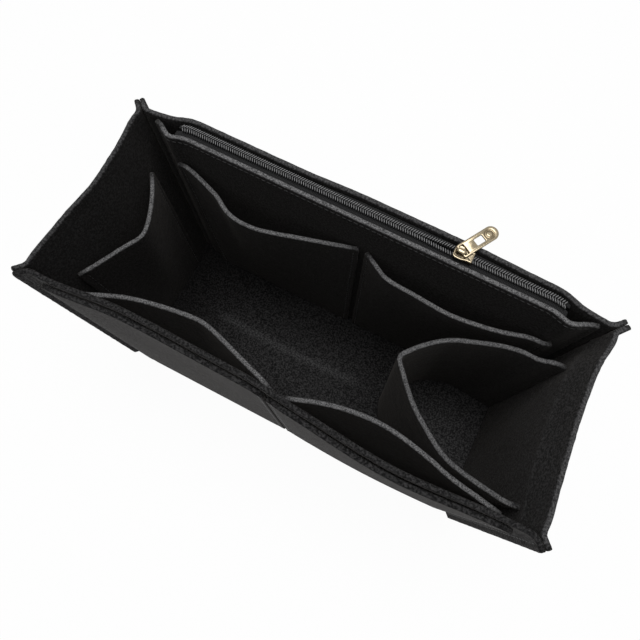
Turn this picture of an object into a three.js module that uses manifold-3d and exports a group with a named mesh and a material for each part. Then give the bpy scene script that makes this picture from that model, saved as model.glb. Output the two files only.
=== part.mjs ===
// Purse organizer insert: a box of thick felt, open at the top, that stands inside a handbag.
// Four walls are pinched together into outward seams at the corners and bow softly at the rim.
// Slip pockets hang inside three walls, a deep ogive pocket holds a bottle at the right end,
// and a coil zipper closes a pocket along the back wall.
// Millimetres, +Z up. X runs along the box, +Y points to the zipped back wall.
// The origin lies in the middle of the base's underside.
import * as THREE from "three";
import { mergeVertices } from "three/addons/utils/BufferGeometryUtils.js";
import Module from "manifold-3d";

// Felt sheet and seams
const FELT = 2.6; // thickness of the felt
const SEAM = 0.3; // clearance between layers that are sewn together
const FIN = 7; // seam allowance that stands out at each corner
const FIN_SOFTNESS = 1.4; // length taken off each side of the bend into a corner seam

// Box, measured on the middle of the felt
const HEIGHT = 140;
const BASE_LENGTH = 236;
const BASE_WIDTH = 91;
const END_FLARE = 9; // each end of the rim stands out past the base, and so do its front and back
const FRONT_FLARE = 3.5;
const BACK_FLARE = 5;
const LEAN = -3; // the rim stands this far to the side of the base
const FRONT_BOW = 3.5; // the deepest bow along each wall's rim
const LEFT_BOW = 3.6;
const RIGHT_BOW = 2.5;
const BACK_BOW = 1.2; // the back wall stands off the zipper by this much more near its middle
const LEFT_TUCK = 0.9; // the pocket on an end wall draws it in below its flared rim
const RIGHT_TUCK = 2.5;

// Pockets
const SLIP_POCKET_HEIGHT = 114;
const LEFT_POCKET_HEIGHT = 109;
const BOTTLE_POCKET_HEIGHT = 116;
const BOTTLE_REACH_MOUTH = 76.2; // from the right end wall to the pocket's nose
const BOTTLE_REACH_BASE = 69.5;
const OUTER_POCKET_DROP = 3; // outer pocket mouths below the rim
const PANEL_LEFT_INSET = 9.5; // zip pocket panel ends short of the corners
const PANEL_RIGHT_INSET = 6.5;
const MOUTH_LIFT = 5; // the back left pocket's mouth rises at its left end
const MOUTH_LIFT_SPAN = 0.24; // share of that mouth that rises
const BELLY_POWER = 1.3; // how late the pockets start to belly on the way up
const BACK_LEG_FOOT = 0.62; // where the bottle pocket meets the end wall, as shares of its half width
const FRONT_LEG_FOOT = 0.82;

// Zipper chain
const ZIP_SET = 0.6; // line of the chain behind the rim's back corners
const CHAIN_INSET = 15; // the chain ends this far inside the ends of the base
const LEVEL_INSET = 20; // and from here on it swings in with the felt
const COIL_WIDTH = 1.9;
const COIL_HEIGHT = 2;
const COIL_PITCH = 1.24;
const TOOTH_DEPTH = 0.5;
const ROW_GAP = 0.42; // between the two meshed rows, measured across the chain
const COIL_DROP = 0.2; // top of the coil below the rim
const TAPE = 0.5; // thickness of the woven tape
const TAPE_EDGE = 0.9; // tape stops this far from the chain's line
const TAPE_TURN = 8.2; // hem of the tape that is sewn down along the felt
const TAPE_OVERRUN = 2; // tape past each end of the chain
const PANEL_MARGIN = 0.7; // extra width of tape that shows in front of the chain
const ZIP_PLAY = 0.2; // clearance round the chain, the tape and the slider

// Zipper slider and pull
const SLIDER_X = 51; // place along the chain, from the middle of the rim
const SLIDER_LENGTH = 9.6;
const SLIDER_SHOULDER = 3.6; // length of the wide half, from the mouth to where it narrows
const PLATE = 1.1; // thickness of the slider's two plates
const FLANGE = 0.55; // thickness of the side flanges
const FLANGE_START = 0.8; // from the slider's middle to where the flanges begin
const DISH = 0.25; // depth of the hollow in the slider's top
const DISH_RIM = 0.7; // width of the raised edge round it
const SPLIT = 0.7; // each row is pushed this far aside at the mouth
const SPLIT_LENGTH = 22; // stretch over which the rows close again
const POST_LENGTH = 2.6; // divider between the rows
const BRIDGE_WIRE = 1;
const BRIDGE_X = -1.6; // middle of the bridge, from the slider's middle
const PULL_YAW = 60; // degrees from the chain's line to the pull, seen from above
const PULL_LENGTH = 21.2; // from its pivot to its tip
const PULL_THICKNESS = 1;
const PULL_RAIL = 1.1; // width of the pull's sides beside its eye
const EYE_SLACK = 1.2; // room in the eye past the bridge's foot
const EYE_CORNER = 0.75;
const WINDOW_LENGTH = 4.8;
const WINDOW_WIDTH = 3.5;
const WINDOW_START = 8.3; // from the pivot
const WINDOW_CORNER = 0.4;
const RING_BACK = 1; // ring groove behind the middle of the pull's round end
const RING_OUTER = 2.5;
const RING_INNER = 1.3;
const RING_DEPTH = 0.3;
const PIVOT_PLAY = 0.12;

const half = 0.5;
const layer = FELT + SEAM; // from the middle of one felt layer to the next
const floorTop = FELT + SEAM; // height at which the inner panels stand on the base

const feltBlack = { color: 0x17161a, roughness: 0.96, metalness: 0 };
const tapeBlack = { color: 0x121214, roughness: 0.85, metalness: 0 };
const coilBlack = { color: 0x2a2a2c, roughness: 0.45, metalness: 0 };
const paleGold = { color: 0xcdb98c, roughness: 0.3, metalness: 1 };

const part = new THREE.Group();

function add(name, geometry, finish) {
  const mesh = new THREE.Mesh(geometry, new THREE.MeshStandardMaterial(finish));
  mesh.name = name;
  part.add(mesh);
}

const lerp = THREE.MathUtils.lerp;
const smooth = THREE.MathUtils.smoothstep;

// A soft curve through [place, value] pairs, with slopes taken from the neighbours on each side.
function softCurve(pairs) {
  const slope = (i) => {
    const a = pairs[Math.max(i - 1, 0)];
    const b = pairs[Math.min(i + 1, pairs.length - 1)];
    return (b[1] - a[1]) / (b[0] - a[0]);
  };
  return (place) => {
    let i = 0;
    while (i < pairs.length - 2 && place > pairs[i + 1][0]) i++;
    const span = pairs[i + 1][0] - pairs[i][0];
    const k = THREE.MathUtils.clamp((place - pairs[i][0]) / span, 0, 1);
    const rise = k * k * (3 - 2 * k);
    const lean = slope(i) * k * (1 - k) * (1 - k) - slope(i + 1) * k * k * (1 - k);
    return lerp(pairs[i][1], pairs[i + 1][1], rise) + span * lean;
  };
}

// The walls lean a little along the box, so every level is shifted by its share.
const lean = (z) => (LEAN * z) / HEIGHT;

// Closes a grid of points into a sheet of the given thickness, half of it to each side.
// A standing sheet is thickened level, so that its top and bottom edges are flat.
function sheet(grid, thickness, standing) {
  const rows = grid.length;
  const columns = grid[0].length;
  const clamp = THREE.MathUtils.clamp;
  const at = (j, i) => grid[clamp(j, 0, rows - 1)][clamp(i, 0, columns - 1)];
  const points = [];
  for (const side of [half, -half]) {
    for (let j = 0; j < rows; j++) {
      for (let i = 0; i < columns; i++) {
        const along = at(j, i + 1).clone().sub(at(j, i - 1));
        const up = at(j + 1, i).clone().sub(at(j - 1, i));
        const normal = along.cross(up);
        if (standing) normal.z = 0;
        normal.normalize();
        const point = at(j, i).clone().addScaledVector(normal, side * thickness);
        points.push(point.x + lean(point.z), point.y, point.z);
      }
    }
  }
  const back = rows * columns;
  const faces = [];
  const quad = (a, b, c, d) => faces.push(a, b, c, a, c, d);
  for (let j = 0; j < rows - 1; j++) {
    for (let i = 0; i < columns - 1; i++) {
      const a = j * columns + i;
      quad(a, a + 1, a + columns + 1, a + columns);
      quad(back + a, back + a + columns, back + a + columns + 1, back + a + 1);
    }
  }
  const rim = [];
  for (let i = 0; i < columns - 1; i++) rim.push(i);
  for (let j = 0; j < rows - 1; j++) rim.push(j * columns + columns - 1);
  for (let i = columns - 1; i > 0; i--) rim.push((rows - 1) * columns + i);
  for (let j = rows - 1; j > 0; j--) rim.push(j * columns);
  rim.forEach((a, n) => {
    const b = rim[(n + 1) % rim.length];
    quad(back + a, back + b, b, a);
  });
  const geometry = new THREE.BufferGeometry();
  geometry.setAttribute("position", new THREE.Float32BufferAttribute(points, 3));
  geometry.setIndex(faces);
  return geometry;
}

function steps(count, from, to) {
  return Array.from({ length: count + 1 }, (_, n) => lerp(from, to, n / count));
}

const wasm = await Module();
wasm.setup();

function solid(geometry) {
  const bare = geometry.clone();
  bare.deleteAttribute("normal");
  bare.deleteAttribute("uv");
  const merged = mergeVertices(bare, 1e-4);
  const mesh = new wasm.Mesh({
    numProp: 3,
    vertProperties: merged.attributes.position.array,
    triVerts: new Uint32Array(merged.index.array),
  });
  return new wasm.Manifold(mesh);
}

// Joins closed geometries into one solid, or cuts the later ones from the first.
function combined(operation, first, ...others) {
  const whole = others.reduce((made, g) => made[operation](solid(g)), solid(first));
  const mesh = whole.getMesh();
  const geometry = new THREE.BufferGeometry();
  geometry.setAttribute("position", new THREE.BufferAttribute(mesh.vertProperties, 3));
  geometry.setIndex(new THREE.BufferAttribute(mesh.triVerts, 1));
  return geometry;
}

// Walls: each bows along the rim, outwards if positive, and stands straight at the base.
const frontBow = softCurve([
  [-1, 0], [-0.88, 0], [-0.58, -1], [-0.1, -0.86], [0.1, -0.06], [0.48, 0.89], [0.85, 0.11], [1, 0],
]);
const leftBow = softCurve([
  [-1, 0], [-0.86, 0.14], [-0.6, 0], [-0.35, -0.31], [0, -1],
  [0.3, -0.75], [0.6, -0.39], [0.83, 0.08], [1, 0],
]);
const rightBow = softCurve([
  [-1, 0], [-0.85, 0.32], [-0.6, 0], [-0.3, -0.4], [0.05, -1],
  [0.45, -0.92], [0.65, -0.56], [0.85, 0.2], [1, 0],
]);

const tailHalf = ROW_GAP * half + COIL_WIDTH + ZIP_PLAY + FLANGE; // half the slider's width at its tail
const mouthHalf = tailHalf + SPLIT; // and at its mouth
const zipRoom = tailHalf + TAPE; // from the chain's line to the felt behind it
const zipY = BASE_WIDTH * half + BACK_FLARE + ZIP_SET;
const levelHalf = BASE_LENGTH * half - LEVEL_INSET; // felt and zipper run straight as far as this
const chainHalf = BASE_LENGTH * half - CHAIN_INSET;
const tapeHalf = chainHalf + TAPE_OVERRUN;

const share = (z) => z / HEIGHT;
const bowShare = (z) => smooth(z, 0, HEIGHT);
const halfLength = (z) => BASE_LENGTH * half + END_FLARE * share(z);
const frontCorner = (z) => BASE_WIDTH * half + FRONT_FLARE * share(z);
const backCorner = (z) => BASE_WIDTH * half + BACK_FLARE * share(z);

// Levels of the zipper, from the top of the coil down to the slider's underside
const coilTop = HEIGHT - COIL_DROP;
const coilFoot = coilTop - COIL_HEIGHT;
const tapeTop = coilFoot - ZIP_PLAY;
const lowerTop = tapeTop - TAPE - ZIP_PLAY;
const sliderFoot = lowerTop - PLATE;

// The zipper's straight stretch ends short of the corners. From there felt and zipper swing in together.
// At the level of the slider's underside the wall leaves just the room the slider needs.
const backBulge = (zipY + zipRoom + FELT * half - backCorner(sliderFoot)) / bowShare(sliderFoot);
const swing = (x, z) => {
  const k = Math.max(Math.abs(x) - levelHalf, 0) / (halfLength(z) - levelHalf);
  return backBulge * bowShare(z) * (1.5 * k - 0.5 * Math.pow(k, 3));
};
const alongZipY = (x, z) => backCorner(z) + backBulge * bowShare(z) - swing(x, z);
const chainY = (x) => zipY - swing(x, coilFoot);
const backSlack = (x) => {
  const start = smooth(x, -0.4 * levelHalf, 0);
  const end = smooth(x, 0.55 * levelHalf, levelHalf);
  return BACK_BOW * (start - end);
};

// An end wall is drawn in at the mouth of the pocket on it, but not at its corners.
const tuck = (s, z, mouth) => (smooth(z, 0, mouth) - smooth(z, mouth, HEIGHT)) * (1 - Math.pow(s, 4));

const frontWallY = (x, z) => -frontCorner(z) - FRONT_BOW * frontBow(x / halfLength(z)) * bowShare(z);
const backWallY = (x, z) => alongZipY(x, z) + backSlack(x) * bowShare(z);
const acrossShare = (y, z) => (y < 0 ? y / frontCorner(z) : y / backCorner(z));
const leftWallX = (y, z) => {
  const s = acrossShare(y, z);
  const bowed = halfLength(z) + LEFT_BOW * leftBow(s) * bowShare(z);
  return LEFT_TUCK * tuck(s, z, LEFT_POCKET_HEIGHT) - bowed;
};
const rightWallX = (y, z) => {
  const s = acrossShare(y, z);
  const bowed = halfLength(z) + RIGHT_BOW * rightBow(s) * bowShare(z);
  return bowed - RIGHT_TUCK * tuck(s, z, BOTTLE_POCKET_HEIGHT);
};

// Plan of a wall at one height: corner seam, straight stretch, corner seam.
// The two layers of a seam lie side by side, so each wall bends before it reaches the corner.
const bendInset = layer / Math.SQRT2;
const finReach = FIN / Math.SQRT2;
const softReach = FIN_SOFTNESS / Math.SQRT2;

function wallPlan(z, stations, place, outward) {
  const points = [];
  const from = stations[0] - FIN_SOFTNESS;
  const to = stations[stations.length - 1] + FIN_SOFTNESS;
  const fin = (end, sign) => {
    const bend = place(end, z);
    const out = outward(end);
    const tip = [bend[0] + out[0] * finReach, bend[1] + out[1] * finReach];
    const soft = [bend[0] + out[0] * softReach, bend[1] + out[1] * softReach];
    const pair = [tip, soft].map((p) => new THREE.Vector3(p[0], p[1], z));
    return sign < 0 ? pair : pair.reverse();
  };
  points.push(...fin(from, -1));
  for (const s of stations) points.push(new THREE.Vector3(...place(s, z), z));
  points.push(...fin(to, 1));
  return points;
}

const wallRows = 6;
const longColumns = 24;
const endColumns = 12;

// Stations along the zipper: straight in the middle, swinging in towards both ends of the tape.
const swingSteps = 3;
const levelSteps = 16;
const outside = steps(swingSteps, levelHalf, tapeHalf).slice(1);
const tapeStations = [
  ...outside.map((x) => -x).reverse(), ...steps(levelSteps, -levelHalf, levelHalf), ...outside,
];

// The same stations, carried on to the ends of a panel.
const endSteps = 4;
function levelStations(leftEnd, rightEnd) {
  const rest = (to) => steps(endSteps, tapeHalf, to).slice(1);
  return [...rest(leftEnd).map((x) => -x).reverse(), ...tapeStations, ...rest(rightEnd)];
}

function longWall(wallY, sign, stations) {
  const grid = steps(wallRows, 0, HEIGHT).map((z) => {
    const end = halfLength(z) - bendInset - FIN_SOFTNESS;
    return wallPlan(z, stations(end), (x) => [x, wallY(x, z)], (x) => [Math.sign(x), sign]);
  });
  return sheet(sign > 0 ? grid.map((row) => row.reverse()) : grid, FELT, true);
}

function endWall(wallX, sign) {
  const grid = steps(wallRows, 0, HEIGHT).map((z) => {
    const front = -frontCorner(z) + bendInset + FIN_SOFTNESS;
    const back = backCorner(z) - bendInset - FIN_SOFTNESS;
    const stations = steps(endColumns, front, back);
    return wallPlan(z, stations, (y) => [wallX(y, z), y], (y) => [sign, Math.sign(y)]);
  });
  return sheet(sign < 0 ? grid.map((row) => row.reverse()) : grid, FELT, true);
}

add("front_wall", longWall(frontWallY, -1, (end) => steps(longColumns, -end, end)), feltBlack);
add("back_wall", longWall(backWallY, 1, (end) => levelStations(end, end)), feltBlack);
add("left_end_wall", endWall(leftWallX, -1), feltBlack);
add("right_end_wall", endWall(rightWallX, 1), feltBlack);

// Base: one flat panel inside the four walls, its corners rounded to pass the corner seams.
function basePanel() {
  const x = BASE_LENGTH * half - FELT * half - SEAM;
  const y = BASE_WIDTH * half - FELT * half - SEAM;
  const r = FELT;
  const outline = new THREE.Shape();
  outline.absarc(x - r, y - r, r, 0, Math.PI * half);
  outline.absarc(r - x, y - r, r, Math.PI * half, Math.PI);
  outline.absarc(r - x, r - y, r, Math.PI, Math.PI * 1.5);
  outline.absarc(x - r, r - y, r, Math.PI * 1.5, Math.PI * 2);
  return new THREE.ExtrudeGeometry(outline, { depth: FELT, bevelEnabled: false, curveSegments: 4 });
}

add("base_panel", basePanel(), feltBlack);

// Zip pocket panel: leaves the back wall at the base and stands a zipper's width in front of it at the top.
// Past each end of the chain it swings back to the wall.
const panelTop = coilTop - FELT * half;
const panelLeft = (z) => halfLength(z) - PANEL_LEFT_INSET;
const panelRight = (z) => halfLength(z) - PANEL_RIGHT_INSET;
const panelGap = (x, z) => {
  const room = (zipRoom * 2 + PANEL_MARGIN - SEAM) * (z / sliderFoot);
  const end = x < 0 ? panelLeft(z) : panelRight(z);
  return room * (1 - smooth(Math.abs(x), tapeHalf, end));
};
const zipPanelY = (x, z) => alongZipY(x, z) - layer - panelGap(x, z);

function zipPocketPanel() {
  const grid = steps(wallRows, floorTop, panelTop).map((z) => {
    const stations = levelStations(panelLeft(z), panelRight(z)).reverse();
    return stations.map((x) => new THREE.Vector3(x, zipPanelY(x, z), z));
  });
  return sheet(grid, FELT, true);
}

add("zip_pocket_panel", zipPocketPanel(), feltBlack);

// Slip pockets: flat against the panel behind them at both sides and at the base, bellied at the mouth.
// A belly is a share of the base's width, and its fullness runs from the pocket's left edge to its right.
const pocketRows = 6;
const pocketColumns = 18;
const bellyShare = (z, mouth) => Math.pow((z - floorTop) / (mouth - floorTop), BELLY_POWER);

const backPockets = {
  back_slip_pocket_left: {
    edges: [-0.84, 0.018],
    belly: 0.167,
    lift: MOUTH_LIFT,
    fullness: softCurve([
      [0, 0], [0.16, 0.3], [0.24, 0.5], [0.33, 0.87], [0.41, 1], [0.52, 0.96], [0.72, 0.57], [1, 0],
    ]),
  },
  back_slip_pocket_right: {
    edges: [0.05, 0.879],
    belly: 0.124,
    lift: 0,
    fullness: softCurve([
      [0, 0], [0.07, 0.36], [0.15, 0.74], [0.3, 0.87], [0.49, 1], [0.63, 0.89], [0.77, 0.65], [1, 0],
    ]),
  },
};
const frontPockets = {
  front_slip_pocket_left: {
    edges: [-0.914, -0.016],
    belly: 0.141,
    lift: 0,
    fullness: softCurve([
      [0, 0], [0.19, 0.55], [0.36, 0.8], [0.5, 0.97], [0.58, 1], [0.68, 0.8], [0.8, 0.49], [1, 0],
    ]),
  },
  front_slip_pocket_right: {
    edges: [0.024, 0.934],
    belly: 0.155,
    lift: 0,
    fullness: softCurve([
      [0, 0], [0.14, 0.5], [0.25, 0.8], [0.38, 1], [0.5, 0.99], [0.64, 0.74], [0.78, 0.37], [1, 0],
    ]),
  },
};

function pocketDepth(pocket, x, z, mouth) {
  const s = x / halfLength(z);
  const across = (s - pocket.edges[0]) / (pocket.edges[1] - pocket.edges[0]);
  if (across < 0 || across > 1) return 0;
  return BASE_WIDTH * pocket.belly * pocket.fullness(across) * bellyShare(z, mouth);
}

function longPocket(pocket, surfaceY, inward) {
  const grid = steps(pocketRows, 0, 1).map((rise) => {
    return steps(pocketColumns, 0, 1).map((across) => {
      const mouth = SLIP_POCKET_HEIGHT + pocket.lift * (1 - smooth(across, 0, MOUTH_LIFT_SPAN));
      const z = lerp(floorTop, mouth, rise);
      const x = lerp(pocket.edges[0], pocket.edges[1], across) * halfLength(z);
      const depth = layer + pocketDepth(pocket, x, z, SLIP_POCKET_HEIGHT);
      return new THREE.Vector3(x, surfaceY(x, z) + inward * depth, z);
    });
  });
  return sheet(inward < 0 ? grid.map((row) => row.reverse()) : grid, FELT, true);
}

for (const [name, pocket] of Object.entries(backPockets)) {
  add(name, longPocket(pocket, zipPanelY, -1), feltBlack);
}
for (const [name, pocket] of Object.entries(frontPockets)) {
  add(name, longPocket(pocket, frontWallY, 1), feltBlack);
}

const leftPocket = {
  edges: [-0.75, 0.68],
  belly: 0.147,
  fullness: softCurve([
    [0, 0], [0.12, 0.27], [0.24, 0.52], [0.38, 0.8], [0.48, 1],
    [0.56, 0.97], [0.69, 0.77], [0.84, 0.44], [1, 0],
  ]),
};

function leftEndPocket() {
  const grid = steps(pocketRows, floorTop, LEFT_POCKET_HEIGHT).map((z) => {
    const from = leftPocket.edges[0] * frontCorner(z);
    const to = leftPocket.edges[1] * backCorner(z);
    const belly = BASE_WIDTH * leftPocket.belly * bellyShare(z, LEFT_POCKET_HEIGHT);
    return steps(pocketColumns, 0, 1).map((across) => {
      const y = lerp(from, to, across);
      const depth = layer + belly * leftPocket.fullness(across);
      return new THREE.Vector3(leftWallX(y, z) + depth, y, z);
    });
  });
  return sheet(grid, FELT, true);
}

add("left_end_pocket", leftEndPocket(), feltBlack);

// Bottle pocket: one panel from the right end wall round a soft nose and back, standing on the base.
// Its two legs keep clear of the slip pockets beside them: a leg's place is a share of the room there.
const backLeg = softCurve([
  [0, 0.775], [0.25, 0.82], [0.43, 0.84], [0.6, 0.76], [0.74, 0.635], [0.87, 0.36], [1, -0.05],
]);
const frontLeg = softCurve([
  [0, 0.91], [0.14, 0.94], [0.4, 0.945], [0.55, 0.92], [0.69, 0.78], [0.81, 0.6], [0.93, 0.3], [1, 0.05],
]);
const legColumns = 14;

const pocketsIn = (pockets, x, z) => {
  const depths = Object.values(pockets).map((p) => pocketDepth(p, x, z, SLIP_POCKET_HEIGHT));
  return Math.max(...depths) + layer;
};
const atPocket = (z) => Math.min(z, SLIP_POCKET_HEIGHT);
const backRoom = (x, z) => zipPanelY(x, z) - pocketsIn(backPockets, x, atPocket(z)) - layer;
const frontRoom = (x, z) => -frontWallY(x, z) - pocketsIn(frontPockets, x, atPocket(z)) - layer;

function bottlePocket() {
  const grid = steps(pocketRows, floorTop, BOTTLE_POCKET_HEIGHT).map((z) => {
    const rise = (z - floorTop) / (BOTTLE_POCKET_HEIGHT - floorTop);
    const reach = lerp(BOTTLE_REACH_BASE, BOTTLE_REACH_MOUTH, rise);
    const leg = (out, side) => {
      const foot = side > 0 ? BACK_LEG_FOOT * backCorner(z) : -FRONT_LEG_FOOT * frontCorner(z);
      const x = rightWallX(foot, z) - FELT * half - SEAM - out * reach;
      const y = side > 0 ? backLeg(out) * backRoom(x, z) : -frontLeg(out) * frontRoom(x, z);
      return new THREE.Vector3(x, y, z);
    };
    const backPoints = steps(legColumns, 0, 1).map((out) => leg(out, 1));
    const frontPoints = steps(legColumns, 1, 0).map((out) => leg(out, -1));
    return [...backPoints, ...frontPoints.slice(1)];
  });
  return sheet(grid, FELT, true);
}

add("right_end_pocket", bottlePocket(), feltBlack);

// Outer pockets: two flat layers on the front wall, side by side, open just below the rim.
// Each has a little slack between its sewn sides, at its foot and at its mouth.
const outerPockets = {
  front_outer_pocket_left: { edges: [-0.924, -0.006], foot: 0, mouth: 0.6 },
  front_outer_pocket_right: { edges: [0.006, 0.924], foot: 1.8, mouth: 0.9 },
};

for (const [name, pocket] of Object.entries(outerPockets)) {
  const grid = steps(wallRows, 0, HEIGHT - OUTER_POCKET_DROP).map((z) => {
    const [from, to] = pocket.edges.map((s) => s * halfLength(z));
    return steps(longColumns * half, from, to).map((x) => {
      const middle = Math.sin((Math.PI * (x - from)) / (to - from));
      const slack = lerp(pocket.foot, pocket.mouth, share(z)) * middle;
      return new THREE.Vector3(x, frontWallY(x, z) - layer - slack, z);
    });
  });
  add(name, sheet(grid, FELT, true), feltBlack);
}

// Zipper: two rows of nylon coil on woven tape. Zigzag teeth mesh behind the slider,
// and in front of it the rows part round the slider's divider.
const mouthX = SLIDER_X - SLIDER_LENGTH * half;
const postEnd = mouthX + POST_LENGTH;
const parting = (x) => {
  const opening = smooth(x, mouthX - SPLIT_LENGTH, mouthX);
  const closing = smooth(x, postEnd, SLIDER_X + FLANGE_START);
  return SPLIT * (opening - closing);
};

const straightSteps = 8; // teeth to one step of the row's outer edge where it runs straight
function coilRow(side) {
  const outline = new THREE.Shape();
  const teeth = Math.floor((chainHalf * 2) / COIL_PITCH);
  const inner = ROW_GAP * half;
  const outer = inner + COIL_WIDTH;
  const start = -teeth * COIL_PITCH * half;
  const put = (n, y) => {
    const x = start + n * COIL_PITCH;
    const point = [x, chainY(x) + side * (y + parting(x))];
    if (n === 0 && y === outer) outline.moveTo(...point);
    else outline.lineTo(...point);
  };
  const together = (x) => x < mouthX - SPLIT_LENGTH || x > SLIDER_X + FLANGE_START + COIL_PITCH;
  const straight = (x) => together(x) && Math.abs(x) < levelHalf - COIL_PITCH;
  for (let n = 0; n <= teeth; n++) {
    if (n % straightSteps === 0 || n === teeth || !straight(start + n * COIL_PITCH)) put(n, outer);
  }
  for (let n = teeth * 2; n >= 0; n--) {
    const tip = n % 2 ? side : -side;
    put(n * half, inner + tip * TOOTH_DEPTH * half);
  }
  const geometry = new THREE.ExtrudeGeometry(outline, { depth: COIL_HEIGHT, bevelEnabled: false });
  return geometry.translate(lean(coilFoot), 0, coilFoot);
}

add("zipper_coil_front", coilRow(-1), coilBlack);
add("zipper_coil_back", coilRow(1), coilBlack);

// Each tape runs out level from under its coil and turns down along the felt it is sewn to.
function tape(side) {
  const level = tapeTop - TAPE * half;
  const feltFace = (x, z) => {
    const face = side > 0 ? backWallY(x, z) - FELT * half : zipPanelY(x, z) + FELT * half;
    return face - side * (ZIP_PLAY + TAPE * half);
  };
  const profile = [
    (x) => [chainY(x) + side * TAPE_EDGE, level],
    (x) => [feltFace(x, level) - side * TAPE, level],
    (x) => [feltFace(x, level), level - TAPE],
    (x) => [feltFace(x, level - TAPE_TURN * half), level - TAPE_TURN * half],
    (x) => [feltFace(x, level - TAPE_TURN), level - TAPE_TURN],
  ];
  const grid = profile.map((place) => tapeStations.map((x) => new THREE.Vector3(x, ...place(x))));
  return sheet(side > 0 ? grid : grid.map((row) => row.reverse()), TAPE, false);
}

add("zipper_tape_front", tape(-1), tapeBlack);
add("zipper_tape_back", tape(1), tapeBlack);

// Slider: two shield-shaped plates joined by a divider at the mouth, side flanges that hold the rows in,
// and a wire-like bridge for the pull.
const upperFoot = coilTop + ZIP_PLAY;
const upperTop = upperFoot + PLATE;

// The bridge's feet stand clear of the pull's turning bar, and the pull's eye clears the feet.
const yaw = THREE.MathUtils.degToRad(PULL_YAW);
const pivotRoom = PULL_THICKNESS * half + PIVOT_PLAY;
const pivotZ = upperTop + pivotRoom;
const bridgeHalf = (pivotRoom + BRIDGE_WIRE * half) / Math.cos(yaw);
const eyeHalf = bridgeHalf * Math.sin(yaw) + BRIDGE_WIRE * half + PIVOT_PLAY;
const eyeEnd = pivotRoom + BRIDGE_WIRE + EYE_SLACK;

// The shield's outline: square at the tail, round at the mouth, drawn in by inset.
function shield(tailWidth, mouthWidth, inset) {
  const tail = SLIDER_LENGTH * half - inset;
  const narrow = tailWidth - inset;
  const wide = mouthWidth - inset;
  const neck = SLIDER_SHOULDER - SLIDER_LENGTH * half;
  const waist = tail - SLIDER_SHOULDER * half;
  const outline = new THREE.Shape();
  outline.moveTo(tail, -narrow);
  outline.lineTo(tail, narrow);
  outline.lineTo(waist, narrow);
  const ease = (waist - neck) * half;
  const round = (neck + tail) * half;
  const nose = wide * half;
  outline.bezierCurveTo(waist - ease, narrow, neck + ease, wide, neck, wide);
  outline.bezierCurveTo(neck - round, wide, -tail, wide, -tail, nose);
  outline.lineTo(-tail, -nose);
  outline.bezierCurveTo(-tail, -wide, neck - round, -wide, neck, -wide);
  outline.bezierCurveTo(neck + ease, -wide, waist - ease, -narrow, waist, -narrow);
  return outline;
}

function raised(outline, foot, top, segments = 6) {
  const depth = top - foot;
  const geometry = new THREE.ExtrudeGeometry(outline, { depth, bevelEnabled: false, curveSegments: segments });
  return geometry.translate(0, 0, foot);
}

function bridge() {
  const span = bridgeHalf;
  const rise = pivotZ + pivotRoom + BRIDGE_WIRE * half;
  const corner = BRIDGE_WIRE;
  const path = new THREE.CurvePath();
  const foot = upperTop - PLATE * half;
  const v = (x, z) => new THREE.Vector3(BRIDGE_X + x, 0, z);
  path.add(new THREE.LineCurve3(v(-span, foot), v(-span, rise - corner)));
  const bendTo = (a, b, c) => new THREE.QuadraticBezierCurve3(a, b, c);
  path.add(bendTo(v(-span, rise - corner), v(-span, rise), v(corner - span, rise)));
  path.add(new THREE.LineCurve3(v(corner - span, rise), v(span - corner, rise)));
  path.add(bendTo(v(span - corner, rise), v(span, rise), v(span, rise - corner)));
  path.add(new THREE.LineCurve3(v(span, rise - corner), v(span, foot)));
  const section = new THREE.Shape().absarc(0, 0, BRIDGE_WIRE * half, 0, Math.PI * 2);
  const bend = { extrudePath: path, steps: 40, bevelEnabled: false, curveSegments: 5 };
  return new THREE.ExtrudeGeometry(section, bend);
}

function slider() {
  const tail = SLIDER_LENGTH * half;
  const lowerHalf = zipRoom - ZIP_PLAY * 2 - TAPE;
  const lower = raised(shield(lowerHalf, lowerHalf, 0), sliderFoot, lowerTop);
  const upper = combined(
    "subtract",
    raised(shield(tailHalf, mouthHalf, 0), upperFoot, upperTop),
    raised(shield(tailHalf, mouthHalf, DISH_RIM), upperTop - DISH, upperTop + DISH),
  );
  const flangeFoot = tapeTop + ZIP_PLAY;
  const flangeHeight = upperFoot + PLATE * half - flangeFoot;
  const flange = (side) => {
    const bar = new THREE.BoxGeometry(tail - FLANGE_START, FLANGE, flangeHeight);
    const y = side * (tailHalf - FLANGE * half);
    return bar.translate((tail + FLANGE_START) * half, y, flangeFoot + flangeHeight * half);
  };
  const divider = new THREE.Shape();
  const nose = -tail + ZIP_PLAY;
  const thick = SPLIT + ROW_GAP * half - TOOTH_DEPTH * half - ZIP_PLAY;
  divider.moveTo(nose, 0);
  divider.lineTo(nose + POST_LENGTH * half, -thick);
  divider.lineTo(nose + POST_LENGTH, 0);
  divider.lineTo(nose + POST_LENGTH * half, thick);
  const post = raised(divider, lowerTop - PLATE * half, upperFoot + PLATE * half);
  const body = combined("add", lower, upper, flange(-1), flange(1), post, bridge());
  return body.translate(SLIDER_X + lean(coilTop), zipY, 0);
}

add("zipper_slider", slider(), paleGold);

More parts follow.
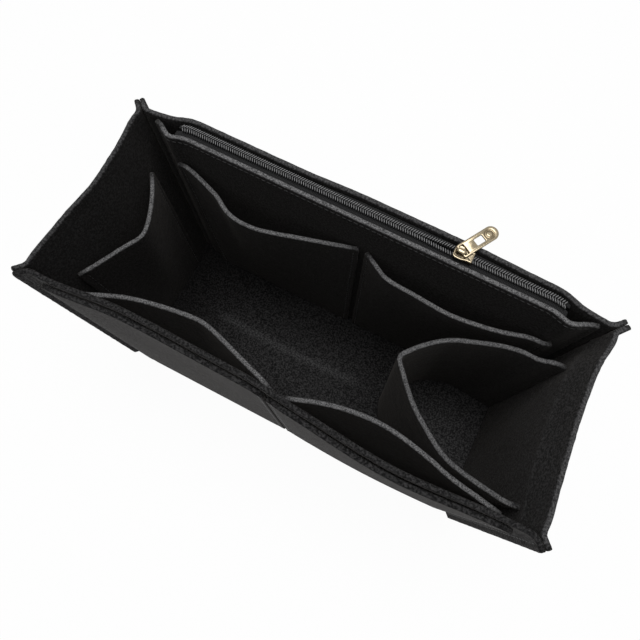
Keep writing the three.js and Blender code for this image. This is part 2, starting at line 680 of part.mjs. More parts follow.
// Pull: a flat tab with an eye round the bridge, a window, and a round end with a ring groove.
// It lies across the back rim and lifts about its rolled heel, a round bar that passes under the bridge.
function pull() {
  const side = eyeHalf + PULL_RAIL;
  const end = PULL_LENGTH - side;
  const outline = new THREE.Shape();
  outline.moveTo(0, -side);
  outline.lineTo(end, -side);
  outline.absarc(end, 0, side, -Math.PI * half, Math.PI * half);
  outline.lineTo(0, side);
  outline.lineTo(0, eyeHalf);
  outline.lineTo(eyeEnd - EYE_CORNER, eyeHalf);
  outline.quadraticCurveTo(eyeEnd, eyeHalf, eyeEnd, eyeHalf - EYE_CORNER);
  outline.lineTo(eyeEnd, EYE_CORNER - eyeHalf);
  outline.quadraticCurveTo(eyeEnd, -eyeHalf, eyeEnd - EYE_CORNER, -eyeHalf);
  outline.lineTo(0, -eyeHalf);
  const from = WINDOW_START;
  const to = WINDOW_START + WINDOW_LENGTH;
  const w = WINDOW_WIDTH * half;
  const window = new THREE.Path();
  window.moveTo(from, -w);
  window.lineTo(from, w);
  window.lineTo(to - WINDOW_CORNER, w);
  window.quadraticCurveTo(to, w, to, w - WINDOW_CORNER);
  window.lineTo(to, WINDOW_CORNER - w);
  window.quadraticCurveTo(to, -w, to - WINDOW_CORNER, -w);
  outline.holes.push(window);
  const tab = raised(outline, -PULL_THICKNESS * half, PULL_THICKNESS * half, 10);
  const heel = new THREE.CylinderGeometry(PULL_THICKNESS * half, PULL_THICKNESS * half, side * 2, 16);
  const ringX = end - RING_BACK;
  const groove = new THREE.Shape().absarc(ringX, 0, RING_OUTER, 0, Math.PI * 2);
  groove.holes.push(new THREE.Path().absarc(ringX, 0, RING_INNER, 0, Math.PI * 2));
  const ring = raised(groove, PULL_THICKNESS * half - RING_DEPTH, PULL_THICKNESS, 12);
  const pivotX = SLIDER_X + BRIDGE_X + lean(coilTop);
  const whole = combined("add", tab, heel);
  return combined("subtract", whole, ring).rotateZ(yaw).translate(pivotX, zipY, pivotZ);
}

add("zipper_pull", pull(), paleGold);

export default part;
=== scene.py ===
import bmesh
import bpy
import numpy as np
from mathutils import Matrix


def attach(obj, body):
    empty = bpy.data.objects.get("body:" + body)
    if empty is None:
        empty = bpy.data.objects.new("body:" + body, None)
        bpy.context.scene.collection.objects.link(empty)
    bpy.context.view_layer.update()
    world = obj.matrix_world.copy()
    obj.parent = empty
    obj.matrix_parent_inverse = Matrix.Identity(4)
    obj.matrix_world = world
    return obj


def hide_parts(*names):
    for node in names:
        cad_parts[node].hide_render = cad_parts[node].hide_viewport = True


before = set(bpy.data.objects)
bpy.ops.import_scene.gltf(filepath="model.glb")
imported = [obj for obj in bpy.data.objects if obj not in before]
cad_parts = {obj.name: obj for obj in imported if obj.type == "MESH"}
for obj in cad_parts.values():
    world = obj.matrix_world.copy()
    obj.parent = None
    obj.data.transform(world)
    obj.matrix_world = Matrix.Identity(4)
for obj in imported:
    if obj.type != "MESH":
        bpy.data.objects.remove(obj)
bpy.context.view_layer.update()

MM = 0.001
scene = bpy.context.scene
scene.view_settings.view_transform = "Standard"

# Camera
# It stands above the front of the box and looks down into it, turned a little to the right.
# The picture is square.
SENSOR, LENS = 36, 30.42
CAMERA_RIGHT = (0.8892, 0.4575, 0.0119)
CAMERA_UP = (-0.4407, 0.8489, 0.2919)
CAMERA_BACK = (0.1234, -0.2648, 0.9564)
CAMERA_PLACE = (0.03293, -0.07297, 0.37301)


def placed(name, data):
    """A new object in the scene."""
    made = bpy.data.objects.new(name, data)
    scene.collection.objects.link(made)
    return made


def facing(right, up, back, place):
    """The matrix of something with these axes, at this place."""
    return Matrix([(*right, 0), (*up, 0), (*back, 0), (*place, 1)]).transposed()


camera = placed("camera", bpy.data.cameras.new("camera"))
camera.data.sensor_width = SENSOR
camera.data.lens = LENS
camera.matrix_world = facing(CAMERA_RIGHT, CAMERA_UP, CAMERA_BACK, CAMERA_PLACE)
scene.camera = camera

# Base panel
# The floor of the box is one piece of needled polyester felt, near black, sewn in at its edges.
# It was folded for packing, and a crease still runs along its middle.
FELT = 2.6  # thickness of the felt
SEAM = 0.3  # clearance between layers that are sewn together
CUT_ROUND = 0.7  # softness of the felt's cut edges
CUT_TURNS = (28, 58, 90)  # degrees of the rounding where its rings of points lie
CUT_SWELL = 1.04  # the middle of a cut edge stands out a little
CUT_ROUGH = 0.05  # how far fibres pull the cut edge about
RING_PALE = (0.3, 0.75, 1, 1, 1, 0.75, 0.3)  # paleness from one side of a cut edge to the other
SEWN_PALE = 0.08  # sewn edges are darker than an open mouth's
MOUTH_FADE, MOUTH_END = 3, 0.3  # mesh cells over which a mouth's edge darkens, and its share at the end
MESH_STEP = 2.2  # size of the mesh cells on the felt
BASE_LENGTH = 236
BASE_WIDTH = 91
CREASE_FROM, CREASE_TO, CREASE_DEPTH, CREASE_WIDTH = -79, 26, 0.4, 1.3
CREASE_SWAY, CREASE_BEAT, CREASE_FADE = 0.8, 19, 8  # sway of its line, and the length over which it fades
FLOOR_WAVE, FLOOR_SINK = 0.14, 0.1  # unevenness of the floor's top
FLOOR_BEATS = 9, 7  # lengths of its waves along and across
FLOOR_FIBRES_AND_LIGHT, CREASE_WEAR = 0.13, 0.2  # paler floor, partly raised fibres and partly painted light where it is lit, and more raised fibres along the crease
FLOOR_LIT_FROM, FLOOR_LIT_TO = -105, -45  # the floor's painted light grows over this stretch, away from the shaded left end, is less towards the shaded back, and is more under the bottle pocket, painted against its shadow
BACK_SHADE_SPAN, BACK_SHADE_SHARE = 35, 0.6  # is less towards the back,
BOTTLE_FROM, BOTTLE_TO, BOTTLE_LIGHT = 35, 60, 0.7  # and is more under the bottle pocket
BASE_PRESS = 0.1  # the base's edges are pressed this far into the walls
BASE_TUCK = 2.4  # and its corners are tucked this far into the corner seams
LAYER = FLOOR_TOP = FELT + SEAM  # one sewn layer, and so the top of the floor
HEIGHT = 140
LEAN = -3  # the rim stands this far to the side of the base


def node(tree, kind, inputs=None, out=0, **settings):
    """Adds a node with these inputs and settings, and gives back one of its outputs."""
    made = tree.nodes.new(kind)
    for key, value in settings.items():
        setattr(made, key, value)
    for key, value in (inputs or {}).items():
        if isinstance(value, bpy.types.NodeSocket):
            tree.links.new(value, made.inputs[key])
        else:
            made.inputs[key].default_value = value
    return made.outputs[out]


def noise(tree, place, scale, detail, rough=0.5, **settings):
    sizes = {"Vector": place, "Scale": scale, "Detail": detail, "Roughness": rough}
    return node(tree, "ShaderNodeTexNoise", sizes, "Fac", **settings)


def ranged(tree, value, low, high, to_low=0.0, to_high=1.0):
    """A value carried over from one range to another."""
    limits = {"Value": value, "From Min": low, "From Max": high, "To Min": to_low, "To Max": to_high}
    return node(tree, "ShaderNodeMapRange", limits)


def blend(tree, share, a, b, kind="RGBA"):
    return node(tree, "ShaderNodeMix", {"Factor": share, "A": a, "B": b}, "Result", data_type=kind)


def bumped(tree, height, strength, distance, **more):
    sizes = {"Height": height, "Strength": strength, "Distance": distance, **more}
    return node(tree, "ShaderNodeBump", sizes)


def reckoned(tree, operation, a, b):
    return node(tree, "ShaderNodeMath", {0: a, 1: b}, operation=operation)


def cleared(owner):
    """The node tree of a material or a world, emptied."""
    owner.use_nodes = True
    owner.node_tree.nodes.clear()
    return owner.node_tree


def new_finish(name):
    """A material, its empty node tree, and the place on the object."""
    material = bpy.data.materials.new(name)
    tree = cleared(material)
    return material, tree, node(tree, "ShaderNodeTexCoord", out="Object")


def close_finish(tree, shader, kind="Material"):
    tree.links.new(shader, tree.nodes.new("ShaderNodeOutput" + kind).inputs["Surface"])


def finish(material, tree, colour, rough, normal, more):
    """Ends a material with one shader, and gives it back."""
    inputs = {"Base Color": colour, "Roughness": rough, "Normal": normal, **more}
    close_finish(tree, node(tree, "ShaderNodeBsdfPrincipled", inputs))
    return material


def felt_finish():
    """Needled felt: tangled fibres over soft lumps, paler and coarser where the sheet is cut (partly cut
    fibres, partly a painted highlight where edges catch the light), and paler where fibres are raised or
    painted light falls.
    """
    material, tree, place = new_finish("black_felt")
    pale_fibre_and_light = node(tree, "ShaderNodeAttribute", out="Fac", attribute_name="pale_fibre_and_light")
    tangle = noise(tree, place, 950, 3, 0.6, noise_type="RIDGED_MULTIFRACTAL")
    lumps = noise(tree, place, 110, 3, 0.55)
    fibre = ranged(tree, noise(tree, place, 900, 3, 0.7), 0.43, 0.61)
    tuft = ranged(tree, noise(tree, place, 1700, 2, 0.6), 0.36, 0.68)
    cloud = ranged(tree, lumps, 0.35, 0.7, 0.0, 0.4)
    face = blend(tree, fibre, (0.001, 0.001, 0.001, 1), (0.0205, 0.0197, 0.0198, 1))
    clouded = blend(tree, cloud, face, (0.0075, 0.0072, 0.0073, 1))
    grain = blend(tree, pale_fibre_and_light, fibre, tuft, "FLOAT")
    # Cut edges: pale grey, partly cut fibres and partly a painted highlight where they catch the light.
    edge = blend(tree, grain, (0.024, 0.024, 0.025, 1), (0.22, 0.218, 0.22, 1))
    fuzz = bumped(tree, tangle, 0.55, 0.0004)
    relief = bumped(tree, lumps, 0.5, 0.0012, Normal=fuzz)
    nap = {"Sheen Weight": 0.05, "Sheen Roughness": 0.45, "Sheen Tint": (1.0, 0.93, 0.87, 1)}
    return finish(
        material, tree, blend(tree, pale_fibre_and_light, clouded, edge), ranged(tree, tangle, 0, 1, 1.0, 0.86), relief,
        {"Specular IOR Level": 0.12, **nap},
    )


def lean(z):
    return LEAN * z / HEIGHT


def spread(low, high, step=MESH_STEP):
    """Even places from low to high, about a step apart."""
    return np.linspace(low, high, max(2, round((high - low) / step)) + 1)


def unit(vectors):
    return vectors / np.linalg.norm(vectors, axis=-1, keepdims=True)


def cut_sheet(name, grid, thickness, rounding, foot, level, relief=(0.0, 0.0), worn=(0.0, 0.0), pale=1.0):
    """Closes a sheet's middle surface, drawn in by the rounding, into a sheet with soft cut edges.

    Relief, and paleness from raised fibres and painted light, are given for its front and back. Returns its
    object and those two faces' points.
    """
    rows, columns = grid.shape[:2]
    along = np.gradient(grid, axis=1)
    up = np.gradient(grid, axis=0)
    normal = np.cross(along, up)
    if level:
        normal[..., 2] = 0
    normal = unit(normal)
    along, up = unit(along), unit(up)
    high_front, high_back = (thickness / 2 + np.broadcast_to(r, (rows, columns)) for r in relief)
    front = grid + normal * high_front[..., None]
    back = grid - normal * high_back[..., None]
    top, side = rows - 1, columns - 1
    j = np.concatenate([np.zeros(side, int), np.arange(top), np.full(side, top), np.arange(top, 0, -1)])
    i = np.concatenate([np.arange(side), np.full(top, side), np.arange(side, 0, -1), np.zeros(top, int)])
    outward = up[j, i] * ((j == top) * 1.0 - (j == 0))[:, None]
    outward = unit(outward + along[j, i] * ((i == side) * 1.0 - (i == 0))[:, None])
    shake = np.random.default_rng(len(name) * 100 + rows)
    rings = []
    turn = np.radians(CUT_TURNS)
    core = thickness / 2 - rounding
    profile = [(rounding * np.sin(a), core + rounding * np.cos(a)) for a in turn]
    profile += [(rounding * CUT_SWELL, 0.0)]
    profile += [(d, -h) for d, h in reversed(profile[:3])]
    for out, high in profile:
        pull = shake.normal(0, CUT_ROUGH * rounding / CUT_ROUND, (len(j), 2))
        rings.append(grid[j, i] + outward * (out + pull[:, :1]) + normal[j, i] * (high + pull[:, 1:]))
    points = np.concatenate([front.reshape(-1, 3), back.reshape(-1, 3), *rings])
    points[:, 2] = np.maximum(points[:, 2], foot)
    points[:, 0] += lean(points[:, 2])
    cell = (np.arange(top)[:, None] * columns + np.arange(side)).ravel()
    size = rows * columns
    faces = [
        np.column_stack([cell, cell + 1, cell + columns + 1, cell + columns]),
        size + np.column_stack([cell, cell + columns, cell + columns + 1, cell + 1]),
    ]
    loops = [j * columns + i]
    loops += [2 * size + n * len(j) + np.arange(len(j)) for n in range(len(rings))]
    loops += [size + j * columns + i]
    for a, b in zip(loops, loops[1:]):
        faces.append(np.column_stack([a, b, np.roll(b, -1), np.roll(a, -1)]))
    mesh = bpy.data.meshes.new(name)
    mesh.from_pydata((points * MM).tolist(), [], np.concatenate(faces).tolist())
    mesh.shade_smooth()
    # Paleness per point: on the faces, raised fibres and painted light; at cut edges, cut fibres and a
    # painted highlight, less where sewn and towards a mouth's ends.
    mouth = np.clip(np.minimum(i, side - i) / MOUTH_FADE, MOUTH_END, 1)
    faded = pale * np.where(j == top, mouth, SEWN_PALE)
    worn = [np.broadcast_to(w, (rows, columns)).ravel() for w in worn]
    pale_fibre_and_light = np.concatenate([*worn, *(faded * k for k in RING_PALE)])
    mesh.attributes.new("pale_fibre_and_light", "FLOAT", "POINT").data.foreach_set("value", pale_fibre_and_light)
    made = placed(name, mesh)
    return made, points[:size].reshape(grid.shape), points[size:2 * size].reshape(grid.shape)


felt = FELT, CUT_ROUND, felt_finish(), "felt"


def sewn(name, cad_node, grid, rests_on, stuff=felt, held="stretched", foot=0.0, level=True, **more):
    """A sheet of some stuff in the place of its CAD solid. Returns the points of its two faces."""
    thickness, rounding, material, slot = stuff
    sheet, front, back = cut_sheet(name, grid, thickness, rounding, foot, level, **more)
    sheet.data.materials.append(material)
    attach(sheet, "insert")
    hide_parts(cad_node)
    return front, back


base_x = BASE_LENGTH / 2 - FELT / 2 - CUT_ROUND + BASE_PRESS
base_y = BASE_WIDTH / 2 - FELT / 2 - CUT_ROUND + BASE_PRESS
across, along = np.meshgrid(spread(-base_y, base_y), spread(-base_x, base_x), indexing="ij")
in_x = np.maximum(np.abs(along) - base_x + FELT, 0) / FELT
in_y = np.maximum(np.abs(across) - base_y + FELT, 0) / FELT
tucked = BASE_TUCK * in_x * in_y
base_grid = np.stack([
    along + np.sign(along) * tucked, across + np.sign(across) * tucked, np.full_like(along, FELT / 2),
], axis=-1)


def smooth(value, low, high):
    k = np.clip((value - low) / (high - low), 0, 1)
    return k * k * (3 - 2 * k)


crease_line = across - CREASE_SWAY * np.sin(along / CREASE_BEAT)
crease_ends = smooth(along, CREASE_FROM - CREASE_FADE, CREASE_FROM + CREASE_FADE)
crease_ends = crease_ends * (1 - smooth(along, CREASE_TO - CREASE_FADE, CREASE_TO + CREASE_FADE))
crease = -CREASE_DEPTH * crease_ends * np.exp(-(crease_line / CREASE_WIDTH) ** 2)
uneven = FLOOR_WAVE * np.sin(along / FLOOR_BEATS[0] + 1) * np.sin(across / FLOOR_BEATS[1]) - FLOOR_SINK
# Painted light on the floor: paler where it is lit, darker towards the shaded left end and back, and paler
# under the bottle pocket against its shadow.
floor_light = smooth(along, FLOOR_LIT_FROM, FLOOR_LIT_TO) * (1 - BACK_SHADE_SHARE * smooth(across, 0, BACK_SHADE_SPAN))
floor_light = floor_light * (1 + BOTTLE_LIGHT * smooth(along, BOTTLE_FROM, BOTTLE_TO))
crease_wear = CREASE_WEAR * np.exp(-(crease_line / (2 * CREASE_WIDTH)) ** 2) * crease_ends
worn = FLOOR_FIBRES_AND_LIGHT * floor_light + crease_wear
sewn(
    "felt_base", "base_panel", base_grid, [], held="laid", level=False,
    relief=(crease + uneven, 0.0), worn=(worn, 0.0),
)

# Walls
# Four felt walls stand round the base, pinched together into outward seams at the corners.
# Each bows by its own amount along the rim and stands straight at the base.
FIN = 7  # seam allowance that stands out at each corner
BEND = 2.6  # length of wall taken up by the turn into a corner seam
SEAM_PRESS = 0.06  # what is left between the two layers of a seam
END_FLARE, FRONT_FLARE, BACK_FLARE = 9, 3.5, 5  # the rim stands out past the base
FRONT_BOW, LEFT_BOW, RIGHT_BOW = 3.5, 3.6, 2.5  # the deepest bow along each wall's rim
BACK_BOW = 1.2  # the back wall stands off the zipper by this much more near its middle
LEFT_TUCK, RIGHT_TUCK = 0.9, 2.5  # the pocket on an end wall draws it in below its flared rim
LEFT_MOUTH, RIGHT_MOUTH = 109, 116  # heights of those pockets
# The rim's cut edge is painted less pale than the pockets', by its own share on each wall.
RIM_PALE = {"front_wall": 0.1, "back_wall": 0.42, "left_end_wall": 0.3, "right_end_wall": 0.4}
# Painted light on the outside and the inside of a wall: the front wall's outside is painted paler where
# light comes up off the table, the right end wall's inside where the lamp lights it.
WALL_PAINTED_LIGHT = {"front_wall": (0.25, 0.0), "right_end_wall": (0.0, 0.15)}
SEAM_LINE = 3.4  # stitches run this far from a cut edge
DIMPLE_DEPTH, DIMPLE_WIDTH = 0.45, 1.1  # felt pressed in by the thread
FOLD_HEIGHT, FOLD_RISE, FOLD_WIDTH, FOLD_WEAR = 119, 0.45, 1.4, 0.16  # ridge inside the right end wall
RIPPLE, SECOND_RIPPLE = 0.3, 0.8  # depth of a wall's slow unevenness, and the share of its second wave
RIPPLE_TURNS, RIPPLE_BEATS = (7.3, 4.1), (19, 31)  # of both waves, along the wall and up it
LONG_CELLS, END_CELLS = 110, 44  # mesh cells along a long wall and an end wall
TURN_CELLS, FIN_CELLS = 5, 4  # and round the turn into a corner seam, and along that seam
ZIP_LINE = 51.1  # the zipper's chain runs along this line
ZIP_ROOM = 3.36  # from the chain's line to the felt behind it
FLAT_OVER = 90, 122  # heights over which the felt turns flat towards the zipper
SLACK_FROM, SLACK_TO = -0.4, 0.55  # shares of the zipper's level half between which the back wall stands off
SLIDER_FOOT = 135.8
LEVEL_HALF = 98  # the slider runs as far as this
SWING_FROM, SWING_ONSET = 94, 16  # zipper and felt start to swing in here, softly over this length


def soft_curve(pairs):
    """A soft curve through (place, value) pairs, with slopes taken from the neighbours on each side."""
    place, value = np.array(pairs, float).T
    before = np.maximum(np.arange(len(place)) - 1, 0)
    after = np.minimum(np.arange(len(place)) + 1, len(place) - 1)
    slope = (value[after] - value[before]) / (place[after] - place[before])

    def at(where):
        i = np.clip(np.searchsorted(place, where) - 1, 0, len(place) - 2)
        span = place[i + 1] - place[i]
        k = np.clip((where - place[i]) / span, 0, 1)
        ease = slope[i] * k * (1 - k) ** 2 - slope[i + 1] * k * k * (1 - k)
        return value[i] + (value[i + 1] - value[i]) * k * k * (3 - 2 * k) + span * ease

    return at


front_bow = soft_curve([
    (-1, 0), (-0.88, 0), (-0.58, -1), (-0.1, -0.86), (0.1, -0.06), (0.48, 0.89), (0.85, 0.11), (1, 0),
])
left_bow = soft_curve([
    (-1, 0), (-0.86, 0.14), (-0.6, 0), (-0.35, -0.31), (0, -1), (0.3, -0.75), (0.6, -0.39),
    (0.83, 0.08), (1, 0),
])
right_bow = soft_curve([
    (-1, 0), (-0.85, 0.32), (-0.6, 0), (-0.3, -0.4), (0.05, -1), (0.45, -0.92), (0.65, -0.56),
    (0.85, 0.2), (1, 0),
])


def share(z):
    return z / HEIGHT


def bow_share(z):
    return smooth(z, 0, HEIGHT)


def half_length(z):
    return BASE_LENGTH / 2 + END_FLARE * share(z)


def front_corner(z):
    return BASE_WIDTH / 2 + FRONT_FLARE * share(z)


def back_corner(z):
    return BASE_WIDTH / 2 + BACK_FLARE * share(z)


def ripple(place, z, phase):
    """Slow unevenness of a felt wall, for a place from -1 to 1 along it."""
    (first, second), (low, high) = RIPPLE_TURNS, RIPPLE_BEATS
    slow = np.sin(place * first + phase) * np.sin(z / low + 2 * phase)
    slow = slow + SECOND_RIPPLE * np.sin(place * second + z / high + 3 * phase)
    return RIPPLE * slow * (1 - np.abs(place) ** 3) * share(z)


back_bulge = (ZIP_LINE + ZIP_ROOM + FELT / 2 - back_corner(SLIDER_FOOT)) / bow_share(SLIDER_FOOT)


def swing(x, z):
    """How far felt and zipper have swung in, past the zipper's straight stretch."""
    k = np.maximum(np.abs(x) - SWING_FROM, 0) / (half_length(z) - SWING_FROM)
    onset = smooth(np.abs(x), SWING_FROM, SWING_FROM + SWING_ONSET)
    return back_bulge * bow_share(z) * (1.5 * k - 0.5 * k ** 3) * onset


def along_zip_y(x, z):
    uneven = ripple(x / half_length(z), z, 1.7) * (1 - smooth(z, *FLAT_OVER))
    return back_corner(z) + back_bulge * bow_share(z) - swing(x, z) + uneven


def tuck(s, z, mouth):
    return (smooth(z, 0, mouth) - smooth(z, mouth, HEIGHT)) * (1 - s ** 4)


def front_wall_y(x, z):
    s = x / half_length(z)
    return -front_corner(z) - FRONT_BOW * front_bow(s) * bow_share(z) + ripple(s, z, 0.4)


def back_wall_y(x, z):
    begun, over = smooth(x, SLACK_FROM * LEVEL_HALF, 0), smooth(x, SLACK_TO * LEVEL_HALF, LEVEL_HALF)
    return along_zip_y(x, z) + BACK_BOW * (begun - over) * bow_share(z)


def across_share(y, z):
    return np.where(y < 0, y / front_corner(z), y / back_corner(z))


def left_wall_x(y, z):
    s = across_share(y, z)
    bowed = -half_length(z) - LEFT_BOW * left_bow(s) * bow_share(z)
    return bowed + LEFT_TUCK * tuck(s, z, LEFT_MOUTH) + ripple(s, z, 2.2)


def right_wall_x(y, z):
    s = across_share(y, z)
    bowed = half_length(z) + RIGHT_BOW * right_bow(s) * bow_share(z)
    return bowed - RIGHT_TUCK * tuck(s, z, RIGHT_MOUTH) + ripple(s, z, 0.9)


def wall_level(place, diagonal, low, high, columns):
    """One level of a wall: corner seam, soft turn, the wall itself, and the same again at its other end."""
    k = np.linspace(0, 1, TURN_CELLS + 1)[:, None]

    def corner(end, sign):
        bend = np.array(place(end))
        inner = np.array(place(end - sign * BEND))
        out = np.array(diagonal(sign)) / np.sqrt(2)
        soft = bend + out * BEND
        tip = bend + out * (FIN - CUT_ROUND)
        turn = (1 - k) ** 2 * inner + 2 * k * (1 - k) * bend + k * k * soft
        return np.vstack([turn, soft + (tip - soft) * np.linspace(0, 1, FIN_CELLS + 1)[1:, None]])

    straight = np.linspace(low + BEND, high - BEND, columns + 1)[1:-1]
    return np.vstack([corner(low, -1)[::-1], np.column_stack(place(straight)), corner(high, 1)])


bend_inset = (FELT + SEAM_PRESS) / np.sqrt(2)
wall_levels = spread(CUT_ROUND, HEIGHT - CUT_ROUND)


def long_wall(wall_y, side):
    levels = []
    for z in wall_levels:
        end = half_length(z) - bend_inset
        plan = wall_level(lambda x: (x, wall_y(x, z)), lambda sign: (sign, side), -end, end, LONG_CELLS)
        levels.append(np.column_stack([plan, np.full(len(plan), z)]))
    return np.array(levels)[:, ::-side]


def end_wall(wall_x, side):
    levels = []
    for z in wall_levels:
        front, back = bend_inset - front_corner(z), back_corner(z) - bend_inset
        plan = wall_level(lambda y: (wall_x(y, z), y), lambda sign: (side, sign), front, back, END_CELLS)
        levels.append(np.column_stack([plan, np.full(len(plan), z)]))
    return np.array(levels)[:, ::side]


def from_edge(grid):
    """Distance of each point from the nearer side edge of its sheet."""
    step = np.linalg.norm(np.diff(grid, axis=1), axis=-1)
    reach = np.concatenate([np.zeros((len(grid), 1)), np.cumsum(step, axis=1)], axis=1) + CUT_ROUND
    return np.minimum(reach, reach[:, -1:] + CUT_ROUND - reach)


def dimple(grid):
    """Felt pressed in along the stitches at both side edges."""
    return -DIMPLE_DEPTH * np.exp(-((from_edge(grid) - SEAM_LINE) / DIMPLE_WIDTH) ** 2)


def stitch_columns(grid):
    """The two columns of a sheet's points where its side seams run."""
    middle = len(grid[0]) // 2
    edge = from_edge(grid)[len(grid) // 2]
    left = int(np.argmin(np.abs(edge[:middle] - SEAM_LINE)))
    return left, middle + int(np.argmin(np.abs(edge[middle:] - SEAM_LINE)))


walls = {}
for name, grid in (
    ("front_wall", long_wall(front_wall_y, -1)),
    ("back_wall", long_wall(back_wall_y, 1)),
    ("left_end_wall", end_wall(left_wall_x, -1)),
    ("right_end_wall", end_wall(right_wall_x, 1)),
):
    ridge = np.exp(-((grid[..., 2] - FOLD_HEIGHT) / FOLD_WIDTH) ** 2) if name == "right_end_wall" else 0.0
    # Painted light on a wall's faces, with raised fibres along the right end wall's ridge.
    outside, inside = WALL_PAINTED_LIGHT.get(name, (0.0, 0.0))
    walls[name] = (grid, *sewn(
        "felt_" + name, name, grid, ["felt_base"], relief=(dimple(grid), FOLD_RISE * ridge),
        worn=(outside, inside + FOLD_WEAR * ridge), pale=RIM_PALE[name],
    ))

# Zip pocket panel
# An inner felt wall closes the zip pocket: it leaves the back wall at the base and stands a zipper's width
# in front of it at the top. Past each end of the zipper it swings back and is sewn to the wall.
PANEL_LEFT_INSET, PANEL_RIGHT_INSET = 9.5, 6.5  # the panel ends short of the corners
PANEL_TOP = 138.5
PANEL_GAP = 7.12  # between the panel and the wall at the zipper
TAPE_HALF = 105  # the zipper's tape ends here


def panel_end(x, z):
    return half_length(z) - np.where(x < 0, PANEL_LEFT_INSET, PANEL_RIGHT_INSET)


def zip_panel_y(x, z):
    apart = 1 - smooth(np.abs(x), TAPE_HALF, panel_end(x, z))
    return along_zip_y(x, z) - LAYER - PANEL_GAP * (z / SLIDER_FOOT) * apart


def standing_grid(foot, top, columns, point):
    """Points of a standing sheet: point(share across, level) over even shares, level by level."""
    across = np.linspace(0, 1, columns + 1)
    levels = spread(foot + CUT_ROUND, top - CUT_ROUND)
    return np.array([np.stack(np.broadcast_arrays(*point(across, z)), axis=-1) for z in levels])


def panel_point(across, z):
    left, right = CUT_ROUND - panel_end(-1, z), panel_end(1, z) - CUT_ROUND
    x = left + across * (right - left)
    return x, zip_panel_y(x, z), z


panel_grid = standing_grid(FLOOR_TOP, PANEL_TOP, LONG_CELLS, panel_point)
panel_front, _ = sewn(
    "felt_zip_panel", "zip_pocket_panel", panel_grid, ["felt_base", "felt_back_wall"],
    foot=FLOOR_TOP, relief=(dimple(panel_grid), 0.0),
)

# Slip pockets
# Two felt pockets hang on the zip panel, two on the front wall and one on the left end wall.
# Each lies flat where it is sewn, at its sides and foot, and bellies out towards its open mouth.
SLIP_POCKET_HEIGHT = 114
BELLY_POWER = 1.3  # how late the pockets start to belly on the way up
MOUTH_LIFT_SPAN = 0.24  # share of a mouth that rises towards its left end
POCKET_CELLS, LEFT_CELLS = 56, 48  # mesh cells across a pocket on a long side, and on the left end wall
# Each pocket: its side edges as shares of the box's half length, its deepest belly, its mouth's rise at the
# left end, and how full it is across.
back_pockets = {
    "back_slip_pocket_left": ((-0.84, 0.018), 15.2, 5, soft_curve([
        (0, 0), (0.16, 0.3), (0.24, 0.5), (0.33, 0.87), (0.41, 1), (0.52, 0.96), (0.72, 0.57), (1, 0),
    ])),
    "back_slip_pocket_right": ((0.05, 0.879), 11.3, 0, soft_curve([
        (0, 0), (0.07, 0.36), (0.15, 0.74), (0.3, 0.87), (0.49, 1), (0.63, 0.89), (0.77, 0.65), (1, 0),
    ])),
}
front_pockets = {
    "front_slip_pocket_left": ((-0.914, -0.016), 12.8, 0, soft_curve([
        (0, 0), (0.19, 0.55), (0.36, 0.8), (0.5, 0.97), (0.58, 1), (0.68, 0.8), (0.8, 0.49), (1, 0),
    ])),
    "front_slip_pocket_right": ((0.024, 0.934), 14.1, 0, soft_curve([
        (0, 0), (0.14, 0.5), (0.25, 0.8), (0.38, 1), (0.5, 0.99), (0.64, 0.74), (0.78, 0.37), (1, 0),
    ])),
}


def belly_share(z, mouth):
    return ((z - FLOOR_TOP) / (mouth - FLOOR_TOP)) ** BELLY_POWER


def pocket_depth(pocket, x, z):
    (left, right), belly, _, fullness = pocket
    across = (x / half_length(z) - left) / (right - left)
    inside = (across >= 0) & (across <= 1)
    full = belly * fullness(np.clip(across, 0, 1)) * belly_share(z, SLIP_POCKET_HEIGHT)
    return np.where(inside, full, 0)


def long_pocket(pocket, surface_y, inward):
    edges, _, lift, _ = pocket

    def point(across, level):
        rise = (level - FLOOR_TOP) / (SLIP_POCKET_HEIGHT - FLOOR_TOP)
        z = level + lift * rise * (1 - smooth(across, 0, MOUTH_LIFT_SPAN))
        left, right = (edge * half_length(z) for edge in edges)
        x = left + CUT_ROUND + across * (right - left - 2 * CUT_ROUND)
        return x, surface_y(x, z) + inward * (LAYER + pocket_depth(pocket, x, z)), z

    return standing_grid(FLOOR_TOP, SLIP_POCKET_HEIGHT, POCKET_CELLS, point)[:, ::-inward]


LEFT_BELLY = 13.4
left_fullness = soft_curve([
    (0, 0), (0.12, 0.27), (0.24, 0.52), (0.38, 0.8), (0.48, 1), (0.56, 0.97), (0.69, 0.77),
    (0.84, 0.44), (1, 0),
])
LEFT_POCKET_FRONT, LEFT_POCKET_BACK = -0.75, 0.68  # its side edges, as shares of the wall's half width


def left_pocket_point(across, z):
    front = LEFT_POCKET_FRONT * front_corner(z) + CUT_ROUND
    back = LEFT_POCKET_BACK * back_corner(z) - CUT_ROUND
    y = front + across * (back - front)
    depth = LEFT_BELLY * left_fullness(across) * belly_share(z, LEFT_MOUTH)
    return left_wall_x(y, z) + LAYER + depth, y, z


pocket_seams = []


def sew_pocket(name, cad_node, grid, rests_on, **more):
    """A felt pocket, with a seam down each side that is kept for its stitches."""
    front, _ = sewn(name, cad_node, grid, rests_on, relief=(dimple(grid), 0.0), **more)
    pocket_seams.extend(front[:, column] for column in stitch_columns(grid))


for pockets, surface_y, inward, carrier in (
    (back_pockets, zip_panel_y, -1, "felt_zip_panel"), (front_pockets, front_wall_y, 1, "felt_front_wall"),
):
    for name, pocket in pockets.items():
        sew_pocket("felt_" + name, name, long_pocket(pocket, surface_y, inward), [carrier], foot=FLOOR_TOP)
left_grid = standing_grid(FLOOR_TOP, LEFT_MOUTH, LEFT_CELLS, left_pocket_point)
sew_pocket("felt_left_end_pocket", "left_end_pocket", left_grid, ["felt_left_end_wall"], foot=FLOOR_TOP)

